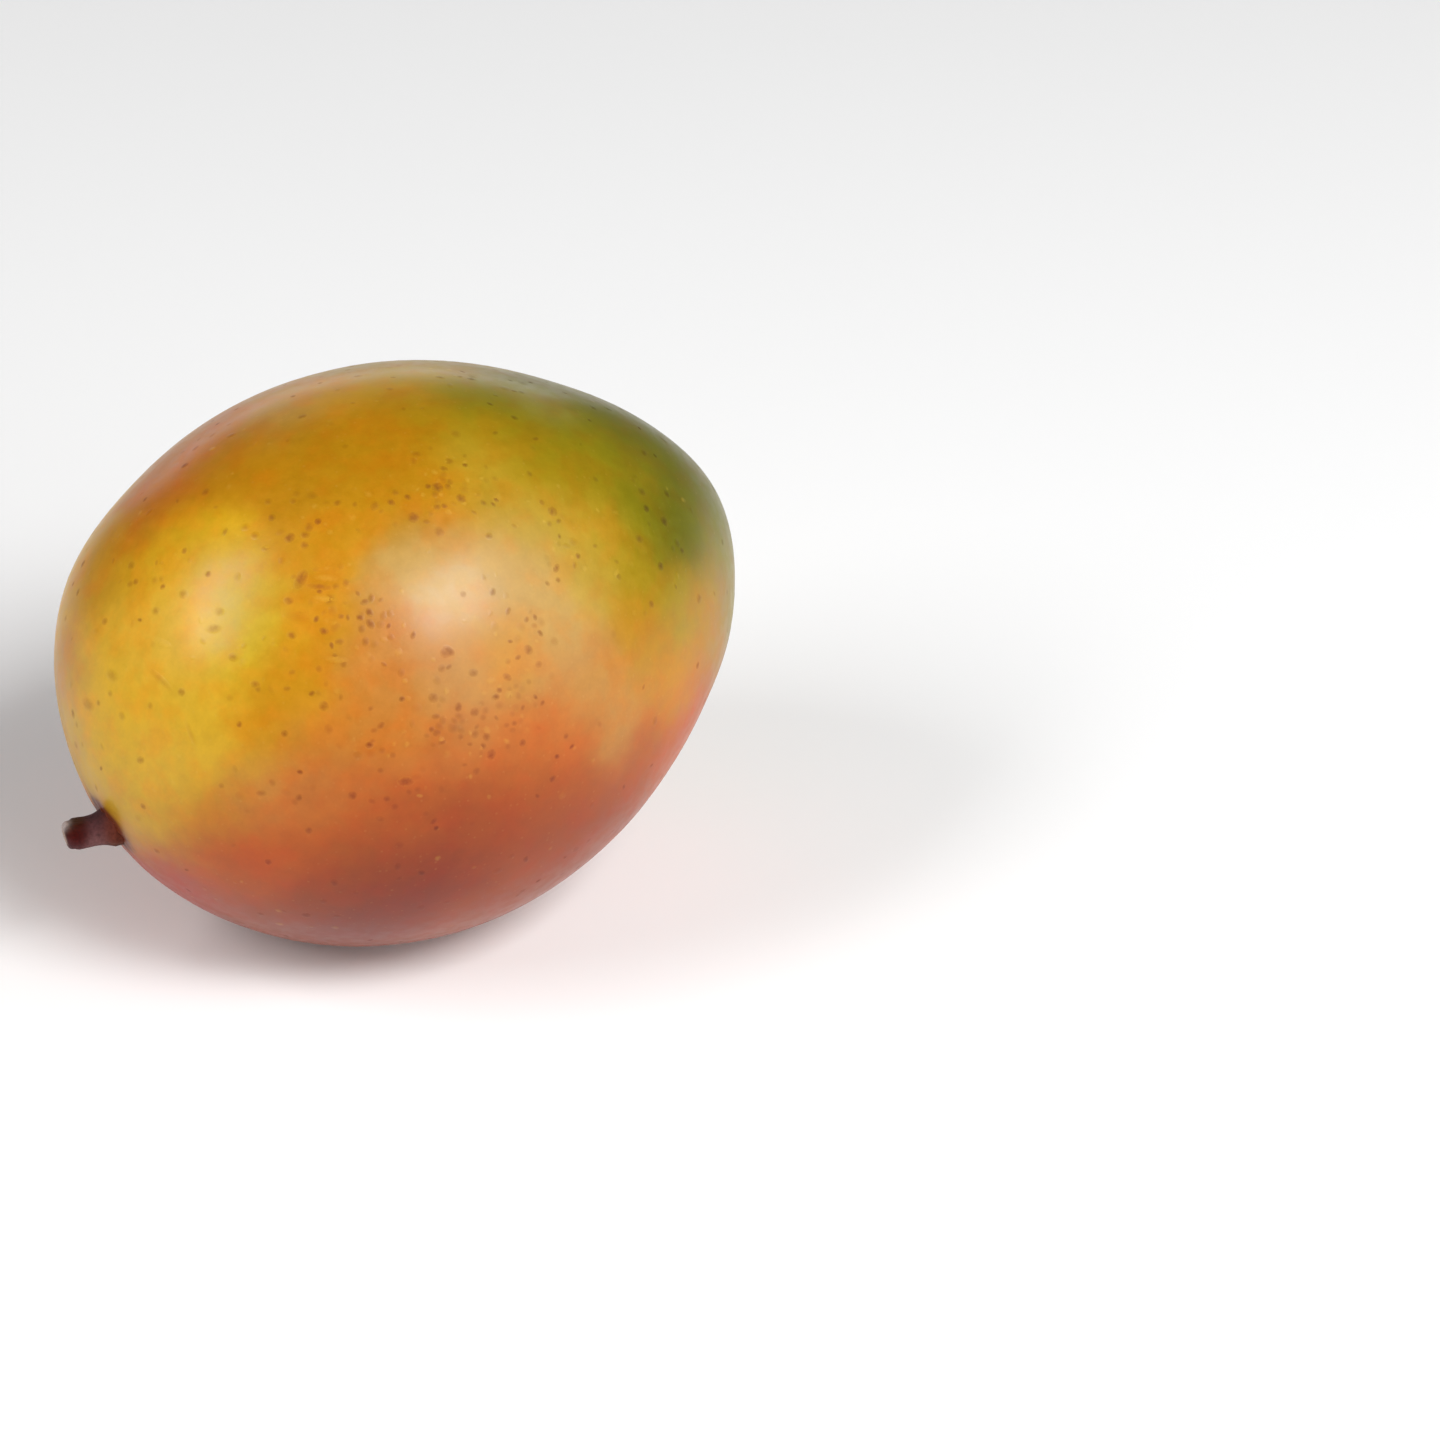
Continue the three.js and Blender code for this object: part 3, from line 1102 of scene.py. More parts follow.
    def build(self) -> bpy.types.Object:
        """Makes the stalk.

        Returns:
            The stalk's object.
        """
        angle = np.linspace(0, math.tau, self.around, endpoint=False)
        points, heights, angles, cut = [(0.0, 0.0, -self.sunk)], [-self.sunk], [0.0], [0.0]
        for height, share, into in self.rows():
            reach = (self.radius + self.swollen(height, angle)) * share
            flat = np.full_like(angle, height)
            ring = np.stack([reach * np.cos(angle), reach * np.sin(angle), flat], axis=1)
            along = ring * [1.0, 1.0, self.wrinkle_stretch]
            wrinkles = self.wrinkle_rise * lumps(along, self.wrinkle_grain, Shift.WRINKLES)
            wrinkles += self.fine_wrinkle_rise * lumps(along, self.fine_wrinkle_grain, Shift.FINE_WRINKLES)
            ring[:, :2] *= (1 + wrinkles * (1 - into) / np.maximum(reach, self.calm_radius))[:, None]
            if into > self.break_edge:
                splinters = self.splinter_rise * lumps(ring, self.splinter_grain, Shift.SPLINTERS)
                ring[:, 2] += splinters - self.break_dip * (into - self.break_edge)
            points += ring.tolist()
            heights += [height] * self.around
            angles += angle.tolist()
            cut += [into] * self.around
        points.append((0.0, 0.0, self.length - self.tip_hollow))
        heights.append(self.length)
        angles.append(0.0)
        cut.append(1.0)
        shape = np.array(points)
        near_tip = np.clip(shape[:, 2] / self.length, 0, 1) ** self.slant_onset
        shape[:, 2] += near_tip * self.tip_slant * shape[:, 0]
        rings = (len(points) - 2) // self.around
        piece = make_piece("stalk", shape @ self.turn.T + self.foot, lathe_faces(rings, self.around))
        give_colours(piece, GROUND, self.colours(np.array(heights), np.array(angles)))
        give_values(piece, CUT, np.clip((np.array(cut) - self.bare_start) / self.bare_ease, 0, 1))
        piece.data.materials.append(self.finish.material())
        return piece

    def dress(self, piece: bpy.types.Object) -> None:
        """Tells the frame what the stalk is."""
        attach(piece, BODY)
        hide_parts("stem")


# ---- The skin --------------------------------------------------------------------------------------


@dataclass
class FruitSkin:
    """The fruit's whole skin, as one fine closed mesh with its ground colours."""

    body: FruitBody
    stalk: Stalk
    material: bpy.types.Material
    steps: int = 120
    edge_wander: float = 0.05
    edge_grain: float = 0.16
    fine_wander: float = 0.02
    fine_grain: float = 0.045
    stain_colour: Colour = (0.15, 0.03, 0.008)
    stain_side: float = math.radians(265.0)
    stain_reach: float = 2.6 * MM
    stain_least_reach: float = 0.22  # on the far side, as a share
    stain_strength: float = 1.7
    stain_least: float = 0.4
    bruise_reach: float = 6.0 * MM
    bruise_strength: float = 0.22
    bruise_patchiness: float = 0.4
    pucker: float = 0.12 * MM
    pucker_reach: float = 3.0 * MM
    pucker_count: int = 9
    pucker_sway: float = 2.0  # in radians, so that the folds aren't evenly apart

    def ground(self, skin: np.ndarray) -> np.ndarray:
        """The ground colour at each point, with wandering edges between its patches.

        Args:
            skin: One point of the skin a row, in the frame's axes.

        Returns:
            One row of linear red, green and blue a point.
        """
        lying = self.body.seen_from_middle(skin)
        wandered = lying + self.edge_wander * lumps_in_space(lying, self.edge_grain)
        wandered += self.fine_wander * lumps_in_space(lying, self.fine_grain, Shift.FINE_EDGES)
        colours = blended_tints(unit(wandered), SKIN_TINTS)
        beyond, angle = self.stalk.beyond_foot(skin)
        facing = (0.5 + 0.5 * np.cos(angle - self.stain_side)) ** 2
        lopsided = self.stain_least_reach + (1 - self.stain_least_reach) * facing
        patchy = 1.0 + self.bruise_patchiness * lumps(lying, self.fine_grain, Shift.BRUISES)
        stain = self.stain_strength * soft_bump(beyond / lopsided, self.stain_reach)
        stain += self.bruise_strength * soft_bump(beyond / lopsided, self.bruise_reach) * patchy
        strength = self.stain_least + (1 - self.stain_least) * lopsided
        share = np.clip(stain * strength, 0.0, 1.0)[:, None]
        return colours * (1 - share) + np.array(self.stain_colour) * share

    def puckered(self, skin: np.ndarray, own: np.ndarray) -> np.ndarray:
        """Draws the skin into low folds round the foot of the stalk.

        Args:
            skin: One point of the skin a row, in the frame's axes.
            own: The direction of each point in the fruit's own axes.

        Returns:
            The moved points.
        """
        beyond, angle = self.stalk.beyond_foot(skin)
        folds = np.cos(self.pucker_count * angle + self.pucker_sway * np.sin(angle))
        rise = self.pucker * soft_bump(beyond, self.pucker_reach) * folds
        return skin + self.body.as_it_lies(self.body.outward(own)) * rise[:, None]

    def build(self) -> bpy.types.Object:
        """Makes the skin and paints its ground colours.

        Returns:
            The skin's object.
        """
        own, faces = sphere_directions(self.steps)
        skin = self.body.points(own)
        piece = make_piece("fruit_skin", self.puckered(skin, own), faces)
        give_colours(piece, GROUND, self.ground(skin))
        piece.data.materials.append(self.material)
        return piece

    def dress(self, piece: bpy.types.Object) -> None:
        """Tells the frame what the skin is."""
        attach(piece, BODY)
        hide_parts("fruit")


# ---- Marks on the skin -----------------------------------------------------------------------------


@dataclass(frozen=True)
class SkinMark:
    """A mark on the skin: where its middle is, how long and wide it is, how its length is turned from
    level, in degrees, and how dark or, below 0, how pale it is."""

    at: Place
    length: float
    width: float
    turn: float
    tone: float


SMEARS = (
    SkinMark((216, 41.5), 4.8 * MM, 2.7 * MM, 85.0, 0.75),
    SkinMark((221, 41), 5.6 * MM, 1.7 * MM, 8.0, 0.55),
    SkinMark((222, 43), 5.2 * MM, 1.8 * MM, 10.0, -0.14),
    SkinMark((223, 39), 5.0 * MM, 1.8 * MM, 4.0, -0.16),
    SkinMark((218, 34.5), 7.0 * MM, 2.2 * MM, 0.0, 0.16),
    SkinMark((182, 6), 4.6 * MM, 2.6 * MM, 10.0, 0.5),
    SkinMark((186, 13), 3.6 * MM, 2.4 * MM, 0.0, 0.4),
    SkinMark((202, 28), 3.6 * MM, 2.0 * MM, 25.0, 0.55),
    SkinMark((253, 30), 3.6 * MM, 2.2 * MM, -40.0, 0.8),
    SkinMark((243, 5), 3.8 * MM, 2.2 * MM, 0.0, 0.7),
)
SPOTS = (
    SkinMark((212, 50), 2.3 * MM, 1.9 * MM, 0.0, 0.6),
    SkinMark((199, 46), 2.1 * MM, 1.9 * MM, 0.0, 0.5),
    SkinMark((195, 46.5), 2.1 * MM, 1.8 * MM, 30.0, 0.4),
    SkinMark((195, 53), 1.9 * MM, 1.8 * MM, 0.0, 0.4),
    SkinMark((202, 55.5), 1.9 * MM, 1.6 * MM, 0.0, 0.35),
    SkinMark((176, 29), 2.3 * MM, 1.9 * MM, 0.0, 0.55),
    SkinMark((184, 30), 1.9 * MM, 1.6 * MM, 0.0, 0.35),
    SkinMark((188.5, 26), 2.1 * MM, 1.8 * MM, 0.0, 0.55),
    SkinMark((201.5, 31), 2.1 * MM, 1.8 * MM, 0.0, 0.45),
    SkinMark((215, 37), 2.3 * MM, 1.9 * MM, 0.0, 0.65),
    SkinMark((218, 31), 2.3 * MM, 1.9 * MM, 0.0, 0.7),
    SkinMark((213.5, 21), 2.1 * MM, 1.8 * MM, 0.0, 0.65),
    SkinMark((200.5, 16), 1.9 * MM, 1.8 * MM, 0.0, 0.7),
    SkinMark((190.5, 8), 2.1 * MM, 1.8 * MM, 0.0, 0.4),
    SkinMark((232, 36.5), 1.9 * MM, 1.8 * MM, 0.0, 0.9),
    SkinMark((236, 12.5), 1.9 * MM, 1.8 * MM, 0.0, 0.95),
    SkinMark((262.5, 19.5), 2.1 * MM, 1.8 * MM, 0.0, 0.85),
    SkinMark((272, 52), 2.1 * MM, 1.8 * MM, 0.0, 0.7),
)
SCRATCHES = (
    SkinMark((196, 16.5), 6.5 * MM, 1.5 * MM, -18.0, 0.32),
    SkinMark((204, 10), 6.0 * MM, 1.3 * MM, -55.0, 0.28),
    SkinMark((193, 22), 5.0 * MM, 1.6 * MM, 6.0, -0.1),
    SkinMark((228, 28), 5.5 * MM, 1.6 * MM, 3.0, -0.1),
    SkinMark((120, 25), 8.0 * MM, 1.6 * MM, 24.0, 0.3),
    SkinMark((75, 12), 7.0 * MM, 1.7 * MM, -32.0, 0.35),
    SkinMark((30, 30), 6.0 * MM, 1.6 * MM, 50.0, 0.3),
)
SKIN_MARKS = SMEARS + SPOTS + SCRATCHES


@dataclass
class SkinPatch:
    """An oval patch that follows the skin, for a mark that lies on it."""

    body: FruitBody
    middle: np.ndarray
    half_length: float
    half_width: float
    turn: float = 0.0
    rings: int = 5
    around: int = 16

    def directions(self) -> tuple[np.ndarray, np.ndarray]:
        """Works out where the patch's points lie.

        Returns:
            For each point, its direction in the fruit's own axes, and how far out it is in the patch, from
            0 in the middle to 1 at the edge.
        """
        level = unit(np.cross([0.0, 0.0, 1.0], self.middle))
        rising = np.cross(self.middle, level)
        turn = math.radians(self.turn)
        angle = np.linspace(0, math.tau, self.around, endpoint=False)
        reach = np.repeat(np.arange(1, self.rings + 1) / self.rings, self.around)
        along = reach * np.tile(np.cos(angle), self.rings) * self.half_length / self.body.half_width
        across = reach * np.tile(np.sin(angle), self.rings) * self.half_width / self.body.half_width
        sideways = along * math.cos(turn) - across * math.sin(turn)
        upwards = along * math.sin(turn) + across * math.cos(turn)
        spots = self.middle + sideways[:, None] * level + upwards[:, None] * rising
        lying = np.vstack([self.middle, unit(spots)])
        return self.body.own_towards(lying), np.append(0.0, reach)

    def faces(self) -> list[list[int]]:
        """The patch's faces, as row numbers, all pointing outwards."""
        faces = [[0, 1 + i, 1 + (i + 1) % self.around] for i in range(self.around)]
        for ring in range(self.rings - 1):
            low = 1 + ring * self.around
            for i in range(self.around):
                j = (i + 1) % self.around
                faces.append([low + i, low + self.around + i, low + self.around + j, low + j])
        return faces

    def raised(self, own: np.ndarray, rise: np.ndarray) -> np.ndarray:
        """The skin's points in each of its own directions, each lifted off the skin by its own rise."""
        return self.body.points(own) + self.body.as_it_lies(self.body.outward(own)) * rise[:, None]


@dataclass
class SkinMarks:
    """Spots, smears and scratches that stand out, each a low patch that follows the skin."""

    body: FruitBody
    skin: FruitSkin
    material: bpy.types.Material
    rise: float = 0.03 * MM
    sink: float = 0.02 * MM

    def build(self) -> bpy.types.Object:
        """Makes all the marks as one piece.

        Returns:
            The marks' object.
        """
        points, faces, cores, tones = [], [], [], []
        for mark in SKIN_MARKS:
            patch = SkinPatch(self.body, towards(mark.at), mark.length / 2, mark.width / 2, mark.turn)
            own, reach = patch.directions()
            first = sum(len(rows) for rows in points)
            faces += [[first + row for row in face] for face in patch.faces()]
            points.append(patch.raised(own, (1 - reach**2) * (self.rise + self.sink) - self.sink))
            cores.append(1 - reach)
            tones.append(np.full(len(reach), mark.tone))
        piece = make_piece("skin_marks", np.vstack(points), faces)
        give_colours(piece, GROUND, self.skin.ground(np.vstack(points)))
        give_values(piece, CORE, np.concatenate(cores))
        give_values(piece, TONE, np.concatenate(tones))
        piece.data.materials.append(self.material)
        return piece

    def dress(self, piece: bpy.types.Object) -> None:
        """Tells the frame what the marks are."""
        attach(piece, BODY)


@dataclass
class FlowerScar:
    """The corky scar where the flower was, on the low beak near the apex: a ring with a nub in it."""

    body: FruitBody
    skin: FruitSkin
    material: bpy.types.Material
    radius: float = 2.4 * MM
    ring_rise: float = 0.16 * MM
    ring_at: float = 0.55  # share of the radius
    nub_rise: float = 0.35 * MM
    softness: float = 0.2  # share of the radius
    unevenness: float = 0.5
    uneven_grain: float = 0.012  # on a sphere of radius one
    sink: float = 0.04 * MM
    tone: float = 1.0
    tone_middle: float = 1.1
    edge_sharpness: float = 4.0
    rings: int = 14
    around: int = 32

    def build(self) -> bpy.types.Object:
        """Makes the scar.

        Returns:
            The scar's object.
        """
        middle = self.body.seen_from_middle(self.body.points(unit(BEAK)[None]))[0]
        patch = SkinPatch(self.body, middle, self.radius, self.radius, 0.0, self.rings, self.around)
        own, reach = patch.directions()
        rise = self.ring_rise * soft_bump(reach - self.ring_at, self.softness)
        rise += self.nub_rise * soft_bump(reach, self.softness)
        uneven = 1 + self.unevenness * lumps(own, self.uneven_grain, Shift.SCAR)
        points = patch.raised(own, rise * uneven - self.sink)
        piece = make_piece("flower_scar", points, patch.faces())
        give_colours(piece, GROUND, self.skin.ground(points))
        edge = np.clip(self.edge_sharpness * (1 - reach), 0.0, 1.0)
        give_values(piece, CORE, np.clip(self.tone_middle - reach, 0.0, 1.0) * edge)
        give_values(piece, TONE, np.full(len(reach), self.tone))
        piece.data.materials.append(self.material)
        return piece

    def dress(self, piece: bpy.types.Object) -> None:
        """Tells the frame what the scar is."""
        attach(piece, BODY)


# ---- Lenticels -------------------------------------------------------------------------------------


@dataclass(frozen=True)
class SpeckleZone:
    """A stretch of skin where lenticels stand thickly."""

    at: Place
    spread: float
    amount: float


SPECKLE_ZONES = (
    SpeckleZone((270, 65), 0.16, 0.75),
    SpeckleZone((212, 54), 0.14, 0.3),
    SpeckleZone((235, 60), 0.1, 0.35),
    SpeckleZone((232, 37), 0.14, 0.85),
    SpeckleZone((222, 24), 0.2, 0.2),
    SpeckleZone((190, 20), 0.3, 0.06),
    SpeckleZone((245, 30), 0.14, 0.3),
    SpeckleZone((272, 32), 0.13, 0.55),
    SpeckleZone((255, 16), 0.13, 1.0),
    SpeckleZone((265, 17), 0.12, 1.0),
    SpeckleZone((258, 9), 0.08, 0.9),
    SpeckleZone((238, 12), 0.12, 0.45),
    SpeckleZone((295, 44), 0.12, 0.4),
    SpeckleZone((243, 0), 0.12, 0.5),
    SpeckleZone((60, 50), 0.5, 0.3),
    SpeckleZone((100, 0), 0.5, 0.3),
    SpeckleZone((20, 0), 0.4, 0.35),
)


@dataclass(frozen=True)
class LenticelKind:
    """One kind of lenticel.

    Its size is the radius of the whole dome, with the soft edge that the skin's finish gives it. Its tone
    says how dark it is or, below 0, how pale.
    """

    name: str
    smallest: float
    largest: float
    per_square_metre: float
    spacing: float
    faintest: float
    strongest: float
    seed: int


DARK_LENTICEL = LenticelKind(
    name="dark_lenticels",
    smallest=0.85 * MM,
    largest=1.5 * MM,
    per_square_metre=0.7 / MM**2,
    spacing=1.0 * MM,
    faintest=0.15,
    strongest=0.9,
    seed=11,
)
PALE_LENTICEL = LenticelKind(
    name="pale_lenticels",
    smallest=0.7 * MM,
    largest=1.3 * MM,
    per_square_metre=0.22 / MM**2,
    spacing=1.2 * MM,
    faintest=-0.04,
    strongest=-0.16,
    seed=29,
)


class Draw(Enum):
    """What is drawn at random for each lenticel, each with its own shift of the seed."""

    SIZE = 1.0
    WIDTH = 2.0
    SPIN = 3.0
    TONE = 4.0


@dataclass
class Lenticels:
    """Lenticels of one kind, scattered over the skin as low domes by a Geometry Nodes tree."""

    kind: LenticelKind
    material: bpy.types.Material
    bare_amount: float = 0.05
    sides: int = 8
    rise: float = 0.02  # share of the radius
    sink: float = 0.03  # share of the radius
    narrowest: float = 0.6
    rarity_of_big: float = 2.2
    rarity_of_bold: float = 1.8

    def speckling(self, lying: np.ndarray) -> np.ndarray:
        """How thickly lenticels stand in each direction, from 0 to 1."""
        amount = np.full(len(lying), self.bare_amount)
        for zone in SPECKLE_ZONES:
            away = np.linalg.norm(lying - towards(zone.at), axis=1)
            amount = np.maximum(amount, zone.amount * soft_bump(away, zone.spread))
        return amount

    def dome(self, bench: NodeBench, sides: object) -> bpy.types.NodeSocket:
        """Adds one lenticel of radius one: a round fan of faces that rises in its middle.

        Args:
            bench: The bench of the tree.
            sides: Socket of how many sides it has.

        Returns:
            The dome's socket.
        """
        circle = {"Vertices": sides, "Radius": 1.0}
        fan = bench.add("GeometryNodeMeshCircle", circle, fill_type="TRIANGLE_FAN")
        fine = bench.add("GeometryNodeSubdivideMesh", {"Mesh": fan.outputs[0], "Level": 1}).outputs[0]
        spot = bench.add("GeometryNodeInputPosition").outputs[0]
        reach = bench.add("ShaderNodeVectorMath", {0: spot}, operation="LENGTH").outputs["Value"]
        inner = bench.sum("SUBTRACT", 1.0, reach)
        marked = bench.add(
            "GeometryNodeStoreNamedAttribute",
            {"Geometry": fine, "Name": CORE, "Value": inner},
            data_type="FLOAT",
            domain="POINT",
        ).outputs[0]
        round_top = bench.sum("SUBTRACT", 1.0, bench.sum("POWER", reach, 2.0))
        swell = bench.sum("MULTIPLY", round_top, self.rise + self.sink)
        height = bench.sum("SUBTRACT", swell, self.sink)
        offset = bench.add("ShaderNodeCombineXYZ", {"Z": height}).outputs[0]
        raised = bench.add("GeometryNodeSetPosition", {"Geometry": marked, "Offset": offset}).outputs[0]
        return bench.add("GeometryNodeSetShadeSmooth", {"Geometry": raised}).outputs[0]

    def drawn(
        self, bench: NodeBench, draw: Draw, seed: object, low: float = 0.0, high: float = 1.0
    ) -> bpy.types.NodeSocket:
        """Adds a number drawn at random for each lenticel.

        Args:
            bench: The bench of the tree.
            draw: What is drawn.
            seed: Socket of the tree's seed.
            low: Lowest value.
            high: Highest value.

        Returns:
            The number's socket.
        """
        inputs = {2: low, 3: high, 8: bench.sum("ADD", seed, draw.value)}
        return bench.add("FunctionNodeRandomValue", inputs, data_type="FLOAT").outputs[1]

    def sizes(self) -> dict[str, float | int]:
        """The tree's inputs by name, each with the value that it gets."""
        return {
            "Smallest": self.kind.smallest,
            "Largest": self.kind.largest,
            "Most": self.kind.per_square_metre,
            "Spacing": self.kind.spacing,
            "Faintest": self.kind.faintest,
            "Strongest": self.kind.strongest,
            "Sides": self.sides,
            "Seed": self.kind.seed,
        }

    def tree(self) -> tuple[bpy.types.NodeTree, dict[str, str]]:
        """Builds the tree that scatters the lenticels.

        Returns:
            The tree, and the identifier of each of its inputs by name.
        """
        tree = bpy.data.node_groups.new(self.kind.name, "GeometryNodeTree")
        tree.interface.new_socket("Geometry", in_out="INPUT", socket_type="NodeSocketGeometry")
        names = {}
        for name, size in self.sizes().items():
            socket_type = "NodeSocketInt" if isinstance(size, int) else "NodeSocketFloat"
            socket = tree.interface.new_socket(name, in_out="INPUT", socket_type=socket_type)
            names[name] = socket.identifier
        tree.interface.new_socket("Geometry", in_out="OUTPUT", socket_type="NodeSocketGeometry")
        bench = NodeBench(tree)
        given = bench.add("NodeGroupInput").outputs
        carried = bench.add("GeometryNodeInputNamedAttribute", {"Name": SPECKLING}, data_type="FLOAT")
        scatter = bench.add(
            "GeometryNodeDistributePointsOnFaces",
            {
                "Mesh": given["Geometry"],
                "Distance Min": given["Spacing"],
                "Density Max": given["Most"],
                "Density Factor": carried.outputs[0],
                "Seed": given["Seed"],
            },
            distribute_method="POISSON",
        ).outputs
        seed = given["Seed"]
        luck = bench.sum("POWER", self.drawn(bench, Draw.SIZE, seed), self.rarity_of_big)
        reach = bench.sum("SUBTRACT", given["Largest"], given["Smallest"])
        size = bench.sum("MULTIPLY_ADD", luck, reach, given["Smallest"])
        narrow = bench.sum("MULTIPLY", size, self.drawn(bench, Draw.WIDTH, seed, self.narrowest))
        scale = bench.add("ShaderNodeCombineXYZ", {"X": size, "Y": narrow, "Z": size}).outputs[0]
        turned = self.drawn(bench, Draw.SPIN, seed, high=math.tau)
        spin = bench.add("ShaderNodeCombineXYZ", {"Z": turned}).outputs[0]
        spun = bench.add("FunctionNodeEulerToRotation", {0: spin}).outputs[0]
        turn = bench.add(
            "FunctionNodeRotateRotation", {0: scatter["Rotation"], 1: spun}, rotation_space="LOCAL"
        ).outputs[0]
        placed = bench.add(
            "GeometryNodeInstanceOnPoints",
            {
                "Points": scatter["Points"],
                "Instance": self.dome(bench, given["Sides"]),
                "Rotation": turn,
                "Scale": scale,
            },
        ).outputs[0]
        boldness = bench.sum("POWER", self.drawn(bench, Draw.TONE, seed), self.rarity_of_bold)
        range_of_tone = bench.sum("SUBTRACT", given["Strongest"], given["Faintest"])
        tone = bench.sum("MULTIPLY_ADD", boldness, range_of_tone, given["Faintest"])
        toned = bench.add(
            "GeometryNodeStoreNamedAttribute",
            {"Geometry": placed, "Name": TONE, "Value": tone},
            data_type="FLOAT",
            domain="INSTANCE",
        ).outputs[0]
        real = bench.add("GeometryNodeRealizeInstances", {"Geometry": toned}).outputs[0]
        done = bench.add("GeometryNodeSetMaterial", {"Geometry": real, "Material": self.material})
        bench.add("NodeGroupOutput", {"Geometry": done.outputs[0]})
        return tree, names

    def build(self, skin: bpy.types.Object, body: FruitBody) -> bpy.types.Object:
        """Scatters the lenticels over the skin and turns them into a plain mesh.

        Args:
            skin: The skin's object.
            body: The fruit's body.

        Returns:
            The lenticels' object.
        """
        ground = bpy.data.objects.new(self.kind.name + "_ground", skin.data.copy())
        bpy.context.scene.collection.objects.link(ground)
        skin_points = body.points(sphere_directions(FruitSkin.steps)[0])
        give_values(ground, SPECKLING, self.speckling(body.seen_from_middle(skin_points)))
        tree, names = self.tree()
        modifier = ground.modifiers.new("lenticels", "NODES")
        modifier.node_group = tree
        for name, size in self.sizes().items():
            modifier[names[name]] = size
        depsgraph = bpy.context.evaluated_depsgraph_get()
        mesh = bpy.data.meshes.new_from_object(
            ground.evaluated_get(depsgraph), preserve_all_data_layers=True, depsgraph=depsgraph
        )
        bpy.data.objects.remove(ground)
        mesh.name = self.kind.name
        piece = bpy.data.objects.new(self.kind.name, mesh)
        bpy.context.scene.collection.objects.link(piece)
        return piece

    def dress(self, piece: bpy.types.Object) -> None:
        """Tells the frame what the lenticels are."""
        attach(piece, BODY)


# ---- Studio ----------------------------------------------------------------------------------------


@dataclass(frozen=True)
class Softbox:
    """A square-cornered soft light that faces the fruit, turned about the line between them."""

    name: str
    at: Place
    distance: float
    width: float
    tall: float
    radiance: float
    turn: float = 0.0

    def build(self, aim: np.ndarray) -> bpy.types.Object:
        """Makes the light.

        Args:
            aim: The point that it faces.

        Returns:
            The light's object.
        """
        lamp = bpy.data.lights.new(self.name, "AREA")
        lamp.shape = "RECTANGLE"
        lamp.size = self.width
        lamp.size_y = self.tall
        lamp.energy = self.radiance * math.pi * self.width * self.tall
        light = bpy.data.objects.new(self.name, lamp)
        away = towards(self.at)
        light.visible_camera = False
        light.location = Vector(aim + away * self.distance)
        facing = Vector(away).to_track_quat("Z", "Y")
        light.rotation_euler = (facing @ Quaternion((0.0, 0.0, 1.0), math.radians(self.turn))).to_euler()
        bpy.context.scene.collection.objects.link(light)
        return light


SOFTBOXES = (
    Softbox("left softbox", (175.0, 42.0), distance=1.4, width=0.45, tall=0.8, radiance=7.9, turn=45.0),
    Softbox("front softbox", (286.0, 48.5), distance=1.5, width=0.6, tall=0.58, radiance=12.1),
    Softbox("front window", (298.0, 31.0), distance=1.5, width=1.65, tall=1.6, radiance=2.05),
    Softbox("back softbox", (72.0, 7.0), distance=1.5, width=1.4, tall=0.32, radiance=1.6),
)


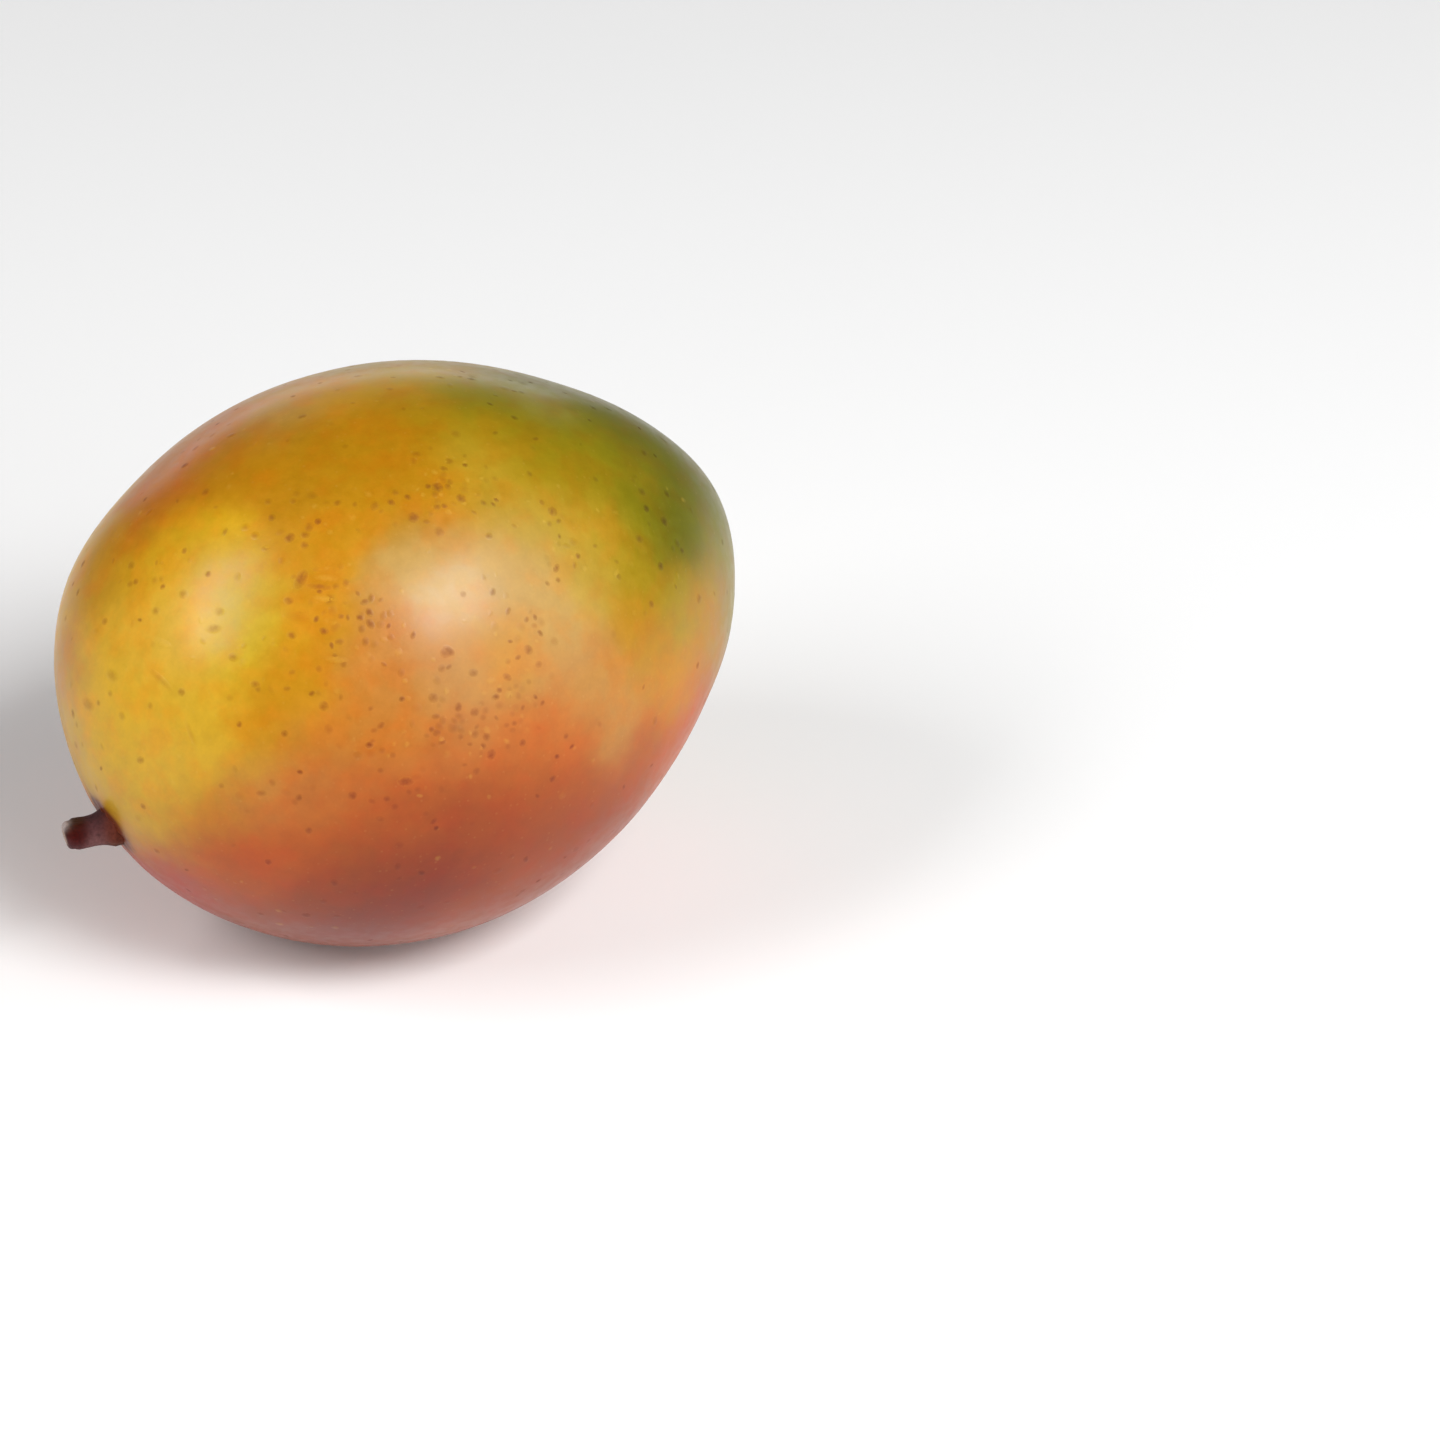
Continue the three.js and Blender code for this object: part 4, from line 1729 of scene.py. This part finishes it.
@dataclass
class Studio:
    """A plain pale floor, soft lights and the camera."""

    body: FruitBody
    floor_half_width: float = 6.0
    floor_drop: float = 0.05 * MM
    floor_colour: Colour = (0.94, 0.94, 0.94)
    floor_roughness: float = 0.9
    floor_specular: float = 0.1
    floor_glow: float = 0.04
    sky_strength: float = 0.07
    frame_px: float = 1440.0
    fruit_px: tuple[float, float] = (405.3, 643.1)
    px_per_mm: float = 5.942
    camera_distance: float = 0.78
    camera_azimuth: float = -27.14
    camera_height: float = 32.0
    nearest_seen: float = 0.01
    farthest_seen: float = 50.0
    sensor_width: float = 36.0  # in millimetres, as the lens is
    softboxes: tuple[Softbox, ...] = SOFTBOXES

    def build(self) -> None:
        """Makes the floor, the sky, the lights and the camera."""
        self.floor()
        self.sky()
        for softbox in self.softboxes:
            softbox.build(self.body.middle)
        self.camera()
        bpy.context.scene.view_settings.view_transform = "Standard"

    def floor(self) -> None:
        """Makes the floor, which isn't part of the mango."""
        half = self.floor_half_width
        corners = [(-half, -half), (half, -half), (half, half), (-half, half)]
        points = np.array([(x, y, -self.floor_drop) for x, y in corners])
        floor = make_piece("floor", points, [(0, 1, 2, 3)])
        material, _, shader = new_material("matt white paper")
        shader.inputs["Base Color"].default_value = (*self.floor_colour, 1.0)
        shader.inputs["Roughness"].default_value = self.floor_roughness
        shader.inputs["Specular IOR Level"].default_value = self.floor_specular
        shader.inputs["Emission Color"].default_value = (1.0, 1.0, 1.0, 1.0)
        shader.inputs["Emission Strength"].default_value = self.floor_glow
        floor.data.materials.append(material)

    def sky(self) -> None:
        """Makes the even white light all round."""
        world = bpy.data.worlds.new("white studio")
        world.use_nodes = True
        background = world.node_tree.nodes["Background"]
        background.inputs["Color"].default_value = (1.0, 1.0, 1.0, 1.0)
        background.inputs["Strength"].default_value = self.sky_strength
        bpy.context.scene.world = world

    def camera(self) -> None:
        """Makes the camera and points it so that the fruit's middle falls on its place in the frame."""
        azimuth, height = math.radians(self.camera_azimuth), math.radians(self.camera_height)
        level = math.cos(height)
        back = Vector((math.sin(azimuth) * level, -math.cos(azimuth) * level, math.sin(height)))
        data = bpy.data.cameras.new("camera")
        data.sensor_width = self.sensor_width
        px_per_metre = self.px_per_mm / MM
        data.lens = self.sensor_width * self.camera_distance * px_per_metre / self.frame_px
        data.clip_start = self.nearest_seen
        data.clip_end = self.farthest_seen
        camera = bpy.data.objects.new("camera", data)
        camera.location = Vector(self.body.middle) + back * self.camera_distance
        centre = self.frame_px / 2
        right = (self.fruit_px[0] - centre) / px_per_metre
        up = (centre - self.fruit_px[1]) / px_per_metre
        sight = Vector((right, up, -self.camera_distance)).normalized()
        turn = sight.rotation_difference(Vector((0.0, 0.0, -1.0)))
        camera.rotation_mode = "QUATERNION"
        camera.rotation_quaternion = back.to_track_quat("Z", "Y") @ turn
        bpy.context.scene.collection.objects.link(camera)
        bpy.context.scene.camera = camera


# ---- Assembly --------------------------------------------------------------------------------------


def report(piece: bpy.types.Object) -> None:
    """Logs a finished piece and how many faces it has."""
    log.info("%s: %d faces", piece.name, len(piece.data.polygons))


def main() -> None:
    logging.basicConfig(level=logging.INFO, format="%(name)s: %(message)s")
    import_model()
    body = FruitBody()
    body.settle(*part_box("fruit"))
    stalk = Stalk(body)
    stub = stalk.build()
    stalk.dress(stub)
    report(stub)
    skin_material = SkinFinish().material()
    fruit_skin = FruitSkin(body, stalk, skin_material)
    skin = fruit_skin.build()
    report(skin)
    for kind in (DARK_LENTICEL, PALE_LENTICEL):
        lenticels = Lenticels(kind, skin_material)
        piece = lenticels.build(skin, body)
        lenticels.dress(piece)
        report(piece)
    fruit_skin.dress(skin)
    for detail in (SkinMarks(body, fruit_skin, skin_material), FlowerScar(body, fruit_skin, skin_material)):
        piece = detail.build()
        detail.dress(piece)
        report(piece)
    Studio(body).build()


if __name__ == "__main__":
    main()
